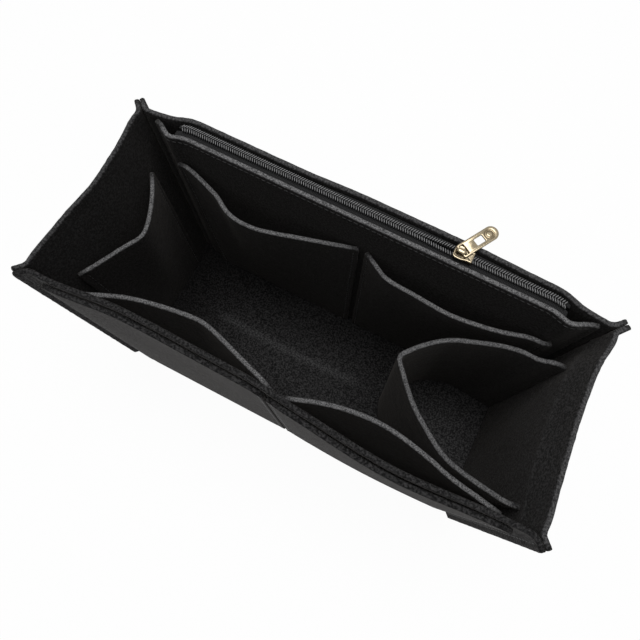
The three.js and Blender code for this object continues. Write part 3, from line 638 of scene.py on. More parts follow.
# Bottle pocket
# One felt panel runs from the right end wall round a soft nose and back again, and stands on the base.
# Its two legs keep clear of the slip pockets beside them.
BOTTLE_REACH_MOUTH = 76.8  # from the right end wall to the pocket's nose
BOTTLE_REACH_BASE = 69.5
BACK_LEG_FOOT, FRONT_LEG_FOOT = 0.62, 0.82  # where its legs meet the end wall, as shares of the half width
NOSE_SOFTNESS = 2  # passes of smoothing along the nose
LEG_POINTS = 44  # mesh points along each leg
BOTTLE_PALE = 0.8  # its mouth is a little darker than the slip pockets'
back_leg = soft_curve([
    (0, 0.775), (0.25, 0.82), (0.43, 0.84), (0.6, 0.76), (0.74, 0.635), (0.87, 0.36), (1, -0.05),
])
front_leg = soft_curve([
    (0, 0.91), (0.14, 0.94), (0.4, 0.945), (0.55, 0.92), (0.69, 0.78), (0.81, 0.6), (0.93, 0.3), (1, 0.05),
])


def room_beside(pockets, surface, x, z):
    level = np.minimum(z, SLIP_POCKET_HEIGHT)
    depths = [pocket_depth(pocket, x, level) for pocket in pockets.values()]
    return surface - np.maximum(*depths) - 2 * LAYER


def bottle_level(z):
    rise = (z - FLOOR_TOP) / (RIGHT_MOUTH - FLOOR_TOP)
    reach = BOTTLE_REACH_BASE + (BOTTLE_REACH_MOUTH - BOTTLE_REACH_BASE) * rise
    out = np.linspace(CUT_ROUND / reach, 1, LEG_POINTS)

    def leg(foot):
        return right_wall_x(np.array(foot), z) - FELT / 2 - SEAM - out * reach

    back_x, front_x = leg(BACK_LEG_FOOT * back_corner(z)), leg(-FRONT_LEG_FOOT * front_corner(z))
    back_y = back_leg(out) * room_beside(back_pockets, zip_panel_y(back_x, z), back_x, z)
    front_y = -front_leg(out) * room_beside(front_pockets, -front_wall_y(front_x, z), front_x, z)
    x = np.concatenate([back_x, front_x[-2::-1]])
    y = np.concatenate([back_y, front_y[-2::-1]])
    for _ in range(NOSE_SOFTNESS):
        x[1:-1] = (x[:-2] + 2 * x[1:-1] + x[2:]) / 4
        y[1:-1] = (y[:-2] + 2 * y[1:-1] + y[2:]) / 4
    return np.column_stack([x, y, np.full(len(x), z)])


bottle_grid = np.array([bottle_level(z) for z in spread(FLOOR_TOP + CUT_ROUND, RIGHT_MOUTH - CUT_ROUND)])
sew_pocket(
    "felt_bottle_pocket", "right_end_pocket", bottle_grid, ["felt_base", "felt_right_end_wall"],
    foot=FLOOR_TOP, pale=BOTTLE_PALE,
)

# Outer pockets
# Two felt layers lie side by side on the outside of the front wall, open just below the rim.
# They are sewn down at their sides and foot.
OUTER_POCKET_DROP = 3  # mouths below the rim
OUTER_CELLS = 54  # mesh cells across a pocket
# Each pocket: its side edges as shares of the box's half length, and its slack at the foot and at the mouth.
outer_pockets = {
    "front_outer_pocket_left": (-0.924, -0.006, 0, 0.25),
    "front_outer_pocket_right": (0.006, 0.924, 1.8, 0.4),
}
for name, (left_share, right_share, foot_slack, mouth_slack) in outer_pockets.items():
    def outer_point(across, z):
        left, right = left_share * half_length(z) + CUT_ROUND, right_share * half_length(z) - CUT_ROUND
        x = left + across * (right - left)
        slack = (foot_slack + (mouth_slack - foot_slack) * share(z)) * np.sin(np.pi * across)
        return x, front_wall_y(x, z) - LAYER - slack, z

    # The outer pockets take the front wall's painted light and its rim's paleness.
    sew_pocket(
        "felt_" + name, name, standing_grid(0, HEIGHT - OUTER_POCKET_DROP, OUTER_CELLS, outer_point),
        ["felt_front_wall"], worn=WALL_PAINTED_LIGHT["front_wall"], pale=RIM_PALE["front_wall"],
    )

# Stitches
# Black polyester thread holds the panels: a row down each side of every corner seam and pocket edge,
# and a row round the foot of the walls. Each stitch is a short swell of thread drawn into the felt.
STITCH_PITCH = 3.2
STITCH_LENGTH = 2.7
THREAD = 0.28  # half the thread's thickness


def wave(tree, place, scale, distortion, direction):
    sizes = {"Vector": place, "Scale": scale, "Distortion": distortion}
    return node(tree, "ShaderNodeTexWave", sizes, "Fac", bands_direction=direction)


def thread_finish():
    """Spun polyester thread, with its twist as fine slanting ridges."""
    material, tree, place = new_finish("black_thread")
    twist = wave(tree, place, 700, 1.5, "DIAGONAL")
    tone = blend(tree, twist, (0.003, 0.003, 0.0032, 1), (0.013, 0.013, 0.0134, 1))
    rough = ranged(tree, twist, 0, 1, 0.6, 0.45)
    return finish(material, tree, tone, rough, bumped(tree, twist, 0.5, 0.0001), {"Sheen Weight": 0.1})


def new_nodes(name, **sizes):
    """An empty Geometry Nodes tree with a path, named sizes and a result. Also returns their sockets."""
    tree = bpy.data.node_groups.new(name, "GeometryNodeTree")
    tree.interface.new_socket("Path", in_out="INPUT", socket_type="NodeSocketGeometry")
    sockets = {}
    for size, value in sizes.items():
        sockets[size] = tree.interface.new_socket(size, in_out="INPUT", socket_type="NodeSocketFloat")
        sockets[size].default_value = value
    tree.interface.new_socket("Result", in_out="OUTPUT", socket_type="NodeSocketGeometry")
    return tree, tree.nodes.new("NodeGroupInput").outputs, sockets


def end_nodes(tree, given, shape, material, **turn):
    """Ends a tree: it sets a shape along the path, a pitch apart."""
    curve = node(tree, "GeometryNodeMeshToCurve", {"Mesh": given["Path"]})
    line = {"Curve": curve, "Length": given["pitch"]}
    points = node(tree, "GeometryNodeResampleCurve", line, mode="LENGTH")
    row = node(tree, "GeometryNodeInstanceOnPoints", {"Points": points, "Instance": shape, **turn})
    whole = node(tree, "GeometryNodeRealizeInstances", {"Geometry": row})
    finished = node(tree, "GeometryNodeSetMaterial", {"Geometry": whole, "Material": material})
    tree.links.new(finished, tree.nodes.new("NodeGroupOutput").inputs[0])


def grown(name, paths, tree, sockets, **sizes):
    """Runs a tree along paths, given in millimetres, and keeps the result as a plain mesh."""
    points = np.concatenate(paths) * MM
    starts = np.cumsum([0] + [len(path) for path in paths])
    edges = [(n, n + 1) for a, b in zip(starts, starts[1:]) for n in range(a, b - 1)]
    mesh = bpy.data.meshes.new(name + "_path")
    mesh.from_pydata(points.tolist(), edges, [])
    carrier = placed(name + "_path", mesh)
    modifier = carrier.modifiers.new("grow", "NODES")
    modifier.node_group = tree
    for size, value in sizes.items():
        modifier[sockets[size].identifier] = value
    evaluated = carrier.evaluated_get(bpy.context.evaluated_depsgraph_get())
    result = bpy.data.meshes.new_from_object(evaluated)
    result.name = name
    result.shade_smooth()
    carrier.modifiers.clear()
    bpy.data.objects.remove(carrier)
    return placed(name, result)


def moved(tree, geometry, **change):
    """A shape turned or scaled as a whole."""
    inputs = {"Geometry": geometry, **{key.title(): value for key, value in change.items()}}
    return node(tree, "GeometryNodeTransform", inputs)


stitch_tree, stitch_in, stitch_sizes = new_nodes("seam_stitches", pitch=0.003, length=0.0025, thread=0.0003)
half, thin = reckoned(stitch_tree, "MULTIPLY", stitch_in["length"], 0.5), stitch_in["thread"]
stitch_scale = node(stitch_tree, "ShaderNodeCombineXYZ", {"X": half, "Y": thin, "Z": thin})
swell = node(stitch_tree, "GeometryNodeMeshUVSphere", {"Segments": 6, "Rings": 5, "Radius": 1.0})
lying = moved(stitch_tree, swell, rotation=(0, np.pi / 2, 0))
swollen = moved(stitch_tree, lying, scale=stitch_scale)
tangent = node(stitch_tree, "GeometryNodeInputTangent")
turned = node(stitch_tree, "FunctionNodeAlignRotationToVector", {"Vector": tangent}, axis="X")
end_nodes(stitch_tree, stitch_in, swollen, thread_finish(), Rotation=turned)


def stitch(name, paths):
    """A row of stitches along each path, riding with the felt."""
    row = grown(
        name, paths, stitch_tree, stitch_sizes,
        pitch=STITCH_PITCH * MM, length=STITCH_LENGTH * MM, thread=THREAD * MM,
    )
    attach(row, "insert")
    return row


SEAM_ENDS, POCKET_START, HEM_ENDS = 2, 1, 14  # mesh cells left free of stitches at the ends of a row
FOOT_ENDS = TURN_CELLS + 1 + FIN_CELLS
corner_seams, foot_seams = [], []
for grid, front, _ in walls.values():
    corner_seams += [front[SEAM_ENDS:-SEAM_ENDS, column] for column in stitch_columns(grid)]
    foot_row = int(np.argmin(np.abs(grid[:, 0, 2] - SEAM_LINE)))
    foot_seams.append(front[foot_row, FOOT_ENDS:-FOOT_ENDS])
hem_row = int(np.argmin(np.abs(PANEL_TOP - SEAM_LINE - panel_grid[:, 0, 2])))
back_grid, back_front, _ = walls["back_wall"]
rim_row = int(np.argmin(np.abs(PANEL_TOP - SEAM_LINE - back_grid[:, 0, 2])))
panel_hem, back_hem = panel_front[hem_row, SEAM_ENDS:-SEAM_ENDS], back_front[rim_row, HEM_ENDS:-HEM_ENDS]
stitch("zip_hem_stitches", [panel_hem, back_hem])
stitch("corner_seam_stitches", corner_seams)
stitch("pocket_seam_stitches", [path[POCKET_START:-SEAM_ENDS] for path in pocket_seams])
stitch("foot_seam_stitches", foot_seams)

# Zipper tapes
# Two strips of black woven polyester tape carry the coil. Each runs level from under its row of coil
# and turns down along the felt, where a hem of it is sewn.
TAPE = 0.5
TAPE_ROUND = 0.2
TAPE_EDGE = 0.9  # tape stops this far from the chain's line
TAPE_TURN = 8.2  # hem that is sewn down along the felt
TAPE_BEND = 1.0  # size of the turn
TAPE_STEP = 2.5  # size of the mesh cells along the tape
TAPE_TOP = 137.6
ZIP_PLAY = 0.2
COIL_FOOT = 137.8


def chain_y(x):
    return ZIP_LINE - swing(x, COIL_FOOT)


def tape_finish():
    """Plain weave: crossing ribs of yarn along and across the tape."""
    material, tree, place = new_finish("woven_tape")
    warp, weft, lift = (wave(tree, place, 420, 0.3, direction) for direction in "XYZ")
    weave = reckoned(tree, "MULTIPLY", warp, reckoned(tree, "ADD", weft, lift))
    tone = blend(tree, weave, (0.004, 0.004, 0.0042, 1), (0.02, 0.02, 0.021, 1))
    rough = ranged(tree, weave, 0, 1, 0.9, 0.7)
    bump = bumped(tree, weave, 0.6, 0.00012)
    return finish(material, tree, tone, rough, bump, {"Specular IOR Level": 0.2, "Sheen Weight": 0.08})


tape = TAPE, TAPE_ROUND, tape_finish(), "tape"
tape_level = TAPE_TOP - TAPE / 2
tape_columns = spread(-TAPE_HALF + TAPE_ROUND, TAPE_HALF - TAPE_ROUND, TAPE_STEP)
for name, side, carrier in (("front", -1, "felt_zip_panel"), ("back", 1, "felt_back_wall")):
    def felt_face(z):
        face = zip_panel_y(tape_columns, z) if side < 0 else back_wall_y(tape_columns, z)
        return face - side * (FELT / 2 + ZIP_PLAY + TAPE / 2)

    start, corner = chain_y(tape_columns) + side * (TAPE_EDGE + TAPE_ROUND), felt_face(tape_level)
    near, below = corner - side * TAPE_BEND, felt_face(tape_level - TAPE_BEND)
    profile = [(start + (near - start) * k, tape_level) for k in np.linspace(0, 1, 4)[:-1]]
    for k in np.linspace(0, 1, 7):
        bend = (1 - k) ** 2 * near + 2 * k * (1 - k) * corner + k * k * below
        profile.append((bend, tape_level - k * k * TAPE_BEND))
    hem = np.linspace(tape_level - TAPE_BEND, tape_level - TAPE_TURN + TAPE_ROUND, 6)[1:]
    profile += [(felt_face(z), z) for z in hem]
    grid = np.array([np.stack(np.broadcast_arrays(tape_columns, y, z), axis=-1) for y, z in profile])
    sewn("tape_" + name, "zipper_tape_" + name, grid[:, ::side], [carrier], tape, level=False)

# Zipper coil
# Each row is a nylon monofilament wound into flat loops. The loops lean away from the slider's tail,
# mesh behind the slider and part in front of it, round its divider.
COIL_HEIGHT = 2
COIL_PITCH = 1.24
COIL_TOP = 139.8
COIL_SHADE = 0.8  # painted shade: the loops are darker below their tops, in the gaps between them, down to this depth
COIL_WIRE = 0.28  # half the filament's thickness
COIL_LEAN = 30  # degrees
CHAIN_HALF = 103
ROW_LINE = 1  # middle of a meshed row from the chain's line
LOOP_WIDTH = 1.9  # on the filament's middle
LOOP_CORNER = 0.45
SPLIT, SPLIT_LENGTH, POST_LENGTH = 0.7, 22, 2.6
SLIDER_X, SLIDER_LENGTH, FLANGE_START = 51, 9.6, 0.8


def coil_finish():
    """Drawn nylon: dark grey and glossy, with faint clouding, and painted shade below the tops of the loops.
    """
    material, tree, place = new_finish("nylon_coil")
    cloud = noise(tree, place, 700, 2)
    tone = blend(tree, cloud, (0.08, 0.08, 0.081, 1), (0.19, 0.19, 0.192, 1))
    # Painted shade below the loops' tops.
    height = node(tree, "ShaderNodeSeparateXYZ", {"Vector": place}, "Z")
    near_top = ranged(tree, height, (COIL_TOP - COIL_SHADE) * MM, COIL_TOP * MM)
    shaded = blend(tree, near_top, (0.004, 0.004, 0.004, 1), tone)
    rough = ranged(tree, cloud, 0, 1, 0.3, 0.5)
    return finish(material, tree, shaded, rough, bumped(tree, cloud, 0.15, 0.0001), {"IOR": 1.53})


coil_tree, coil_in, coil_sizes = new_nodes(
    "coil_row", pitch=0.00124, width=0.0018, height=0.0014, corner=0.0004, wire=0.0003, lean=0.4,
)
loop_size = {"Width": coil_in["width"], "Height": coil_in["height"]}
loop_line = node(coil_tree, "GeometryNodeCurvePrimitiveQuadrilateral", loop_size)
loop_corner = {"Curve": loop_line, "Count": 3, "Radius": coil_in["corner"]}
loop_soft = node(coil_tree, "GeometryNodeFilletCurve", loop_corner, mode="POLY")
upright = moved(coil_tree, loop_soft, rotation=(np.pi / 2, 0, np.pi / 2))
loop_lean = node(coil_tree, "ShaderNodeCombineXYZ", {"Z": coil_in["lean"]})
leaning = moved(coil_tree, upright, rotation=loop_lean)
wire = node(coil_tree, "GeometryNodeCurvePrimitiveCircle", {"Resolution": 6, "Radius": coil_in["wire"]})
loop = node(coil_tree, "GeometryNodeCurveToMesh", {"Curve": leaning, "Profile Curve": wire})
end_nodes(coil_tree, coil_in, loop, coil_finish())

mouth_x = SLIDER_X - SLIDER_LENGTH / 2
for name, side in (("front", -1), ("back", 1)):
    start = -CHAIN_HALF + COIL_PITCH * (0.5 if side > 0 else 1.0)
    x = np.arange(start, CHAIN_HALF - COIL_PITCH / 2, COIL_PITCH / 2)
    parted = smooth(x, mouth_x - SPLIT_LENGTH, mouth_x)
    meshed = smooth(x, mouth_x + POST_LENGTH, SLIDER_X + FLANGE_START)
    row_y = chain_y(x) + side * (ROW_LINE + SPLIT * (parted - meshed))
    path = np.column_stack([x + lean(COIL_FOOT), row_y, np.full(len(x), COIL_TOP - COIL_HEIGHT / 2)])
    row = grown(
        "coil_" + name, [path], coil_tree, coil_sizes,
        pitch=COIL_PITCH * MM, width=LOOP_WIDTH * MM, height=(COIL_HEIGHT - 2 * COIL_WIRE) * MM,
        corner=LOOP_CORNER * MM, wire=COIL_WIRE * MM, lean=-side * np.radians(COIL_LEAN),
    )
    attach(row, "insert")
    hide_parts("zipper_coil_" + name)

# Zipper slider
# A die-cast slider, plated pale gold: two shield-shaped plates joined by a divider at the mouth,
# side flanges that hold the rows in, and a bridge that carries the pull.
PLATE = 1.1
FLANGE, FLANGE_CORNER = 0.55, 0.2
TAIL_HALF, MOUTH_HALF, LOWER_HALF = 2.86, 3.56, 2.46
SHOULDER = 3.6  # length of the wide half, from the mouth to where it narrows
LOWER_TOP = 136.9
UPPER_FOOT = 140.0
UPPER_TOP = UPPER_FOOT + PLATE
DISH = 0.08
BRIDGE_X = -1.6
BRIDGE_HALF = 2.24
BRIDGE_WIRE = 1.0
BRIDGE_CROWN, CROWN_START = 1.3, 0.4  # half the bridge's width at its crown, and where it starts to widen
BRIDGE_ROOT, BRIDGE_BEND = 0.3, 1.0  # depth of its feet in the plate, and size of its bends
PIVOT_ROOM = 0.62
PIVOT_Z = UPPER_TOP + PIVOT_ROOM
CAST_ROUND = 0.16
POST_ROOM = 0.04  # the divider is this much thinner than the rows' parting
SLIDER_SIDE_SHADE, PULL_SIDE_SHADE = 0.15, 0.7  # how far the sides of each casting are painted dark, a painted reflection of the dark felt
SIDE_SHADE_DEPTH = 0.3  # depth below a casting's top over which its sides are painted darker
SHARP_TURN = 50  # degrees from which a casting's edge stays sharp


def gold_finish():
    """Pale gold plating over a tumbled casting: fine scratches, a slight unevenness in the shine, and a
    painted dark reflection on its sides.
    """
    material, tree, place = new_finish("pale_gold")
    drawn = {"Vector": place, "Scale": (300, 2600, 2600), "Rotation": (0, 0, 0.6)}
    scratch = noise(tree, node(tree, "ShaderNodeMapping", drawn), 1.0, 3)
    tone = blend(tree, noise(tree, place, 420, 2), (0.21, 0.172, 0.115, 1), (0.34, 0.288, 0.203, 1))
    # Painted reflection: the sides of a casting are painted dark brown, as if they mirrored the dark felt.
    edge = node(tree, "ShaderNodeAttribute", out="Fac", attribute_name="edge")
    side_shaded = blend(tree, edge, tone, (0.13, 0.1, 0.06, 1))
    rough = ranged(tree, scratch, 0.3, 0.7, 0.12, 0.28)
    return finish(material, tree, side_shaded, rough, bumped(tree, scratch, 0.06, 0.0001), {"Metallic": 1.0})


pale_gold = gold_finish()


def bezier(a, b, c, d, count=10):
    k = np.linspace(0, 1, count + 1)[1:, None]
    a, b, c, d = (np.array(p, float) for p in (a, b, c, d))
    return (1 - k) ** 3 * a + 3 * k * (1 - k) ** 2 * b + 3 * k * k * (1 - k) * c + k ** 3 * d


def arc(centre, radius, start, stop, count=8):
    a = np.radians(np.linspace(start, stop, count + 1))
    return np.column_stack([centre[0] + radius * np.cos(a), centre[1] + radius * np.sin(a)])


def shield(narrow, wide):
    """Outline of a slider plate: square at the tail, round at the mouth."""
    tail = SLIDER_LENGTH / 2
    neck = SHOULDER - tail
    waist = tail - SHOULDER / 2
    ease, turn, nose, soft = (waist - neck) / 2, (neck + tail) / 2, wide / 2, 0.45
    upper = np.vstack([
        arc((tail - soft, narrow - soft), soft, 0, 90),
        [(waist, narrow)],
        bezier((waist, narrow), (waist - ease, narrow), (neck + ease, wide), (neck, wide)),
        bezier((neck, wide), (neck - turn, wide), (-tail, wide), (-tail, nose)),
    ])
    return np.vstack([upper, upper[::-1] * (1, -1)])


def drawn_in(outline, inset):
    """An outline, counterclockwise, moved inwards."""
    along = unit(np.roll(outline, -1, axis=0) - np.roll(outline, 1, axis=0))
    return outline - inset * np.column_stack([along[:, 1], -along[:, 0]])


def ring_faces(count, rings):
    """Faces that join rings of points, each to the next."""
    n = np.arange(count)
    faces = []
    for a in (level * count + n for level in range(rings - 1)):
        faces += np.column_stack([a, np.roll(a, -1), np.roll(a, -1) + count, a + count]).tolist()
    return faces


def lofted(outline, rings):
    """A closed solid through the outline at each (inset, height), with flat ends."""
    count = len(outline)
    points = np.concatenate([
        np.column_stack([drawn_in(outline, inset), np.full(count, z)]) for inset, z in rings
    ])
    n = np.arange(count)
    faces = ring_faces(count, len(rings))
    last = (len(rings) - 1) * count
    for ring, z in ((n[::-1], rings[0][1]), (last + n, rings[-1][1])):
        centre = len(points)
        points = np.vstack([points, [*outline.mean(axis=0), z]])
        faces += [[int(a), int(b), centre] for a, b in zip(ring, np.roll(ring, -1))]
    return points, faces


def plate_rings(foot, top, rounding=CAST_ROUND):
    return [
        (rounding, foot), (rounding * 0.3, foot + rounding * 0.3), (0, foot + rounding),
        (0, top - rounding), (rounding * 0.3, top - rounding * 0.3), (rounding, top),
    ]


def box_outline(low, high, soft):
    """A rectangle with round corners, counterclockwise."""
    (x0, y0), (x1, y1) = np.add(low, soft), np.subtract(high, soft)
    corners = ((x1, y0), -90), ((x1, y1), 0), ((x0, y1), 90), ((x0, y0), 180)
    return np.vstack([arc(centre, soft, start, start + 90, 4) for centre, start in corners])


def circle(centre, radius, cells=48):
    return arc(centre, radius, 0, 360, cells)[:-1]


def bridge_arch():
    """The bridge: a bent bar, round at its feet and flattened over its crown."""
    rise = PIVOT_Z + PIVOT_ROOM + BRIDGE_WIRE / 2
    foot = UPPER_TOP - DISH - BRIDGE_ROOT
    half = np.vstack([
        [(-BRIDGE_HALF, foot), (-BRIDGE_HALF, UPPER_TOP)],
        bezier(
            (-BRIDGE_HALF, UPPER_TOP), (-BRIDGE_HALF, rise - BRIDGE_BEND * 0.3),
            (-BRIDGE_HALF + BRIDGE_BEND * 0.3, rise), (-BRIDGE_HALF + BRIDGE_BEND * 1.3, rise), 8,
        ),
        [(0, rise)],
    ])
    line = np.vstack([half, half[-2::-1] * (-1, 1)])
    along = unit(np.gradient(line, axis=0))
    normal = np.column_stack([-along[:, 1], along[:, 0]])
    crown = smooth(line[:, 1], UPPER_TOP + CROWN_START, rise) * (1 - (line[:, 0] / BRIDGE_HALF) ** 4)
    width = BRIDGE_WIRE / 2 + (BRIDGE_CROWN - BRIDGE_WIRE / 2) * crown
    turn = np.radians(np.arange(0, 360, 30))
    points = np.concatenate([
        np.column_stack([
            BRIDGE_X + p[0] + n[0] * np.cos(turn) * BRIDGE_WIRE / 2, np.sin(turn) * w,
            p[1] + n[1] * np.cos(turn) * BRIDGE_WIRE / 2,
        ])
        for p, n, w in zip(line, normal, width)
    ])
    count = len(turn)
    n = np.arange(count)
    faces = ring_faces(count, len(line))
    faces += [n[::-1].tolist(), ((len(line) - 1) * count + n).tolist()]
    return points, faces


def cast_piece(name, parts, body, cad_node, side_shade, place):
    """Joins closed parts into one metal piece and sets it on its body."""
    points, faces, count = [], [], 0
    for part_points, part_faces in parts:
        points.append(place(np.asarray(part_points, float)))
        faces += [[count + i for i in face] for face in part_faces]
        count += len(part_points)
    mesh = bpy.data.meshes.new(name)
    mesh.from_pydata((np.concatenate(points) * MM).tolist(), [], faces)
    shape = bmesh.new()
    shape.from_mesh(mesh)
    bmesh.ops.recalc_face_normals(shape, faces=shape.faces)
    shape.to_mesh(mesh)
    shape.free()
    mesh.shade_smooth()
    mesh.set_sharp_from_angle(angle=np.radians(SHARP_TURN))
    mesh.materials.append(pale_gold)
    # Painted reflection: points below the top of each part are painted darker, up to the given share.
    below = [p[:, 2].max() - p[:, 2] for p in points]
    edge = [np.clip((depth - SIDE_SHADE_DEPTH / 3) / SIDE_SHADE_DEPTH, 0, side_shade) for depth in below]
    mesh.attributes.new("edge", "FLOAT", "POINT").data.foreach_set("value", np.concatenate(edge))
    made = placed(name, mesh)
    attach(made, body)
    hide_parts(cad_node)


slider_x = SLIDER_X + lean(COIL_TOP)
# The upper plate's profile, as (inset, height) from its foot over its rim to its hollow.
upper_rings = [
    (0.3, UPPER_FOOT), (0.08, UPPER_FOOT + 0.05), (0, UPPER_FOOT + 0.2), (0, UPPER_TOP - 0.3),
    (0.07, UPPER_TOP - 0.1), (0.22, UPPER_TOP), (0.5, UPPER_TOP),
    (0.66, UPPER_TOP - 0.3 * DISH), (0.8, UPPER_TOP - 0.8 * DISH), (0.95, UPPER_TOP - DISH),
]
tail = SLIDER_LENGTH / 2
flange_foot = TAPE_TOP + ZIP_PLAY
slider_parts = [
    lofted(shield(LOWER_HALF, LOWER_HALF), plate_rings(LOWER_TOP - PLATE, LOWER_TOP)),
    lofted(shield(TAIL_HALF, MOUTH_HALF), upper_rings),
    bridge_arch(),
]
for side in (-1, 1):
    inner, outer = sorted((side * (TAIL_HALF - FLANGE), side * TAIL_HALF))
    bar = box_outline((FLANGE_START, inner), (tail, outer), FLANGE_CORNER)
    slider_parts.append(lofted(bar, plate_rings(flange_foot, UPPER_FOOT + PLATE / 2)))
post_thick = SPLIT - POST_ROOM - ZIP_PLAY
post = np.array([(POST_LENGTH, 0), (POST_LENGTH / 2, post_thick), (0, 0), (POST_LENGTH / 2, -post_thick)])
post = post - (tail - ZIP_PLAY, 0)
slider_parts.append(lofted(post, [(0, LOWER_TOP - PLATE / 2), (0, UPPER_FOOT + PLATE / 2)]))
cast_piece(
    "zip_slider", slider_parts, "slider", "zipper_slider", SLIDER_SIDE_SHADE,
    lambda p: p + (slider_x, ZIP_LINE, 0),
)

# Zipper pull
# A flat die-cast tab in the same plating, with an eye round the bridge, a see-through window,
# and a round end with a ring groove. It lies across the back rim and lifts about the bar under the bridge.
PULL_YAW = 60  # degrees from the chain's line to the pull, seen from above
PULL_LENGTH = 21.2
PULL_THICKNESS = 1
PIVOT_BAR = 1
PULL_HALF = 3.66
EYE_HALF, EYE_END = 2.56, 2.82
WINDOW_FROM, WINDOW_TO, WINDOW_HALF = 8.3, 13.1, 1.75
RING_OUTER, RING_BACK = 2.5, 1
RING_OVERLAP = 0.02  # the boss inside the ring groove is let into the tab
PULL_ROUND = 0.36
TAB_CORNER, EYE_CORNER, WINDOW_CORNER = 1, 0.5, 0.4


def pressed_plate(outlines, foot, top, rounding):
    """A flat plate with holes and rounded edges: the first outline is its own, the rest are the holes."""
    curve = bpy.data.curves.new("plate", "CURVE")
    curve.dimensions = "2D"
    curve.fill_mode = "BOTH"
    curve.offset = -rounding * MM
    curve.bevel_depth = rounding * MM
    curve.bevel_resolution = 2
    curve.extrude = ((top - foot) / 2 - rounding) * MM
    for outline in outlines:
        spline = curve.splines.new("POLY")
        spline.points.add(len(outline) - 1)
        flat = np.column_stack([outline * MM, np.zeros(len(outline)), np.ones(len(outline))])
        spline.points.foreach_set("co", flat.ravel())
        spline.use_cyclic_u = True
    carrier = placed("plate", curve)
    mesh = bpy.data.meshes.new_from_object(carrier.evaluated_get(bpy.context.evaluated_depsgraph_get()))
    bpy.data.objects.remove(carrier)
    shape = bmesh.new()
    shape.from_mesh(mesh)
    bmesh.ops.remove_doubles(shape, verts=shape.verts, dist=1e-6)
    shape.verts.index_update()
    points = np.array([v.co for v in shape.verts]) / MM + (0, 0, (foot + top) / 2)
    faces = [[v.index for v in face.verts] for face in shape.faces]
    shape.free()
    bpy.data.meshes.remove(mesh)
    return points, faces


round_end = PULL_LENGTH - PULL_HALF
ring_x = round_end - RING_BACK
tab_x, tab_y = TAB_CORNER - PIVOT_BAR / 2, PULL_HALF - TAB_CORNER
tab = np.vstack([
    arc((tab_x, -tab_y), TAB_CORNER, 180, 270), arc((round_end, 0), PULL_HALF, -90, 90, 28),
    arc((tab_x, tab_y), TAB_CORNER, 90, 180),
])
eye = box_outline((PIVOT_BAR / 2, -EYE_HALF), (EYE_END, EYE_HALF), EYE_CORNER)
window = box_outline((WINDOW_FROM, -WINDOW_HALF), (WINDOW_TO, WINDOW_HALF), WINDOW_CORNER)
ring_hole = circle((ring_x, 0), RING_OUTER)
thick = PULL_THICKNESS / 2
# The boss's profile, as (inset, height) from its foot through the ring groove to its top.
boss_rings = [
    (0.12, -thick), (0, -thick + 0.12), (0, thick - 0.34), (0.25, thick - 0.38), (0.75, thick - 0.38),
    (1.0, thick - 0.3), (1.15, thick - 0.08), (1.3, thick), (1.8, thick + 0.02),
]
yaw = np.radians(PULL_YAW)


def pull_place(p):
    x, y, z = p.T
    turned = (x * np.cos(yaw) - y * np.sin(yaw), x * np.sin(yaw) + y * np.cos(yaw), z)
    return np.column_stack(turned) + (slider_x + BRIDGE_X, ZIP_LINE, PIVOT_Z)


pull_parts = [
    pressed_plate([tab, eye[::-1], window[::-1], ring_hole[::-1]], -thick, thick, PULL_ROUND),
    lofted(circle((ring_x, 0), RING_OUTER + RING_OVERLAP), boss_rings),
]
cast_piece("zip_pull", pull_parts, "pull", "zipper_pull", PULL_SIDE_SHADE, pull_place)

# Table and light
# The insert stands on a plain white table under a wide soft lamp, with even light all round.
# The table looks white to the camera and to the metal, and still takes a soft shadow.
TABLE_HALF, TABLE_CELLS, TABLE_DROP = 3.0, 12, 0.0002
TABLE_WHITE = 0.96  # share of plain white in what the camera sees of the table
LAMP_PLACE, LAMP_AIM = (0.0, 0.13, 1.2), (0, 0, 0.07)
LAMP_SIZE, LAMP_POWER, EVEN_LIGHT = 0.8, 10, 0.31


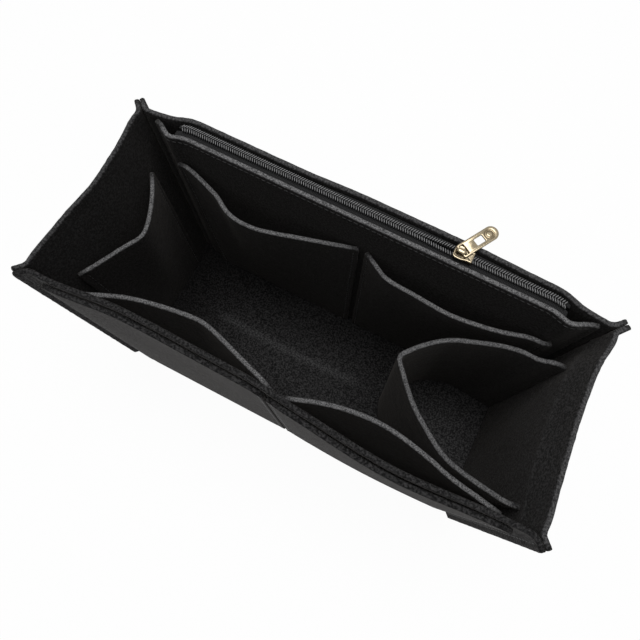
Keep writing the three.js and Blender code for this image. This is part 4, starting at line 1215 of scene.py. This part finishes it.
def seen(tree, *kinds):
    """One for the camera's rays and these kinds, and nought for the rest."""
    rays = node(tree, "ShaderNodeLightPath").node.outputs
    looking = rays["Is Camera Ray"]
    for kind in kinds:
        looking = reckoned(tree, "MAXIMUM", looking, rays[f"Is {kind} Ray"])
    return looking


def table_finish():
    material, tree, place = new_finish("white_table")
    mostly = reckoned(tree, "MULTIPLY", seen(tree, "Glossy", "Transmission"), TABLE_WHITE)
    tone = blend(tree, noise(tree, place, 40, 2), (0.86, 0.86, 0.86, 1), (0.9, 0.9, 0.9, 1))
    matt = node(tree, "ShaderNodeBsdfDiffuse", {"Color": tone})
    white = node(tree, "ShaderNodeEmission", {"Color": (1, 1, 1, 1), "Strength": 1.0})
    close_finish(tree, node(tree, "ShaderNodeMixShader", {0: mostly, 1: matt, 2: white}))
    return material


table_mesh = bpy.data.meshes.new("table")
steps = np.linspace(-TABLE_HALF, TABLE_HALF, TABLE_CELLS + 1)
table_points = [(x, y, -TABLE_DROP) for y in steps for x in steps]
cells = [j * len(steps) + i for j in range(TABLE_CELLS) for i in range(TABLE_CELLS)]
table_faces = [(n, n + 1, n + len(steps) + 1, n + len(steps)) for n in cells]
table_mesh.from_pydata(table_points, [], table_faces)
table_mesh.materials.append(table_finish())
table = placed("table", table_mesh)

lamp = placed("lamp", bpy.data.lights.new("lamp", "AREA"))
lamp.data.shape = "DISK"
lamp.data.size = LAMP_SIZE
lamp.data.energy = LAMP_POWER
lamp_back = unit(np.array(LAMP_PLACE) - LAMP_AIM)
lamp_right = unit(np.cross((0, 0, 1), lamp_back))
lamp.matrix_world = facing(lamp_right, np.cross(lamp_back, lamp_right), lamp_back, LAMP_PLACE)

world = bpy.data.worlds.new("studio")
sky = cleared(world)
even = node(sky, "ShaderNodeBackground", {"Color": (0.97, 0.98, 1, 1), "Strength": EVEN_LIGHT})
white = node(sky, "ShaderNodeBackground", {"Color": (1, 1, 1, 1), "Strength": 1.0})
close_finish(sky, node(sky, "ShaderNodeMixShader", {0: seen(sky, "Glossy"), 1: even, 2: white}), "World")
scene.world = world
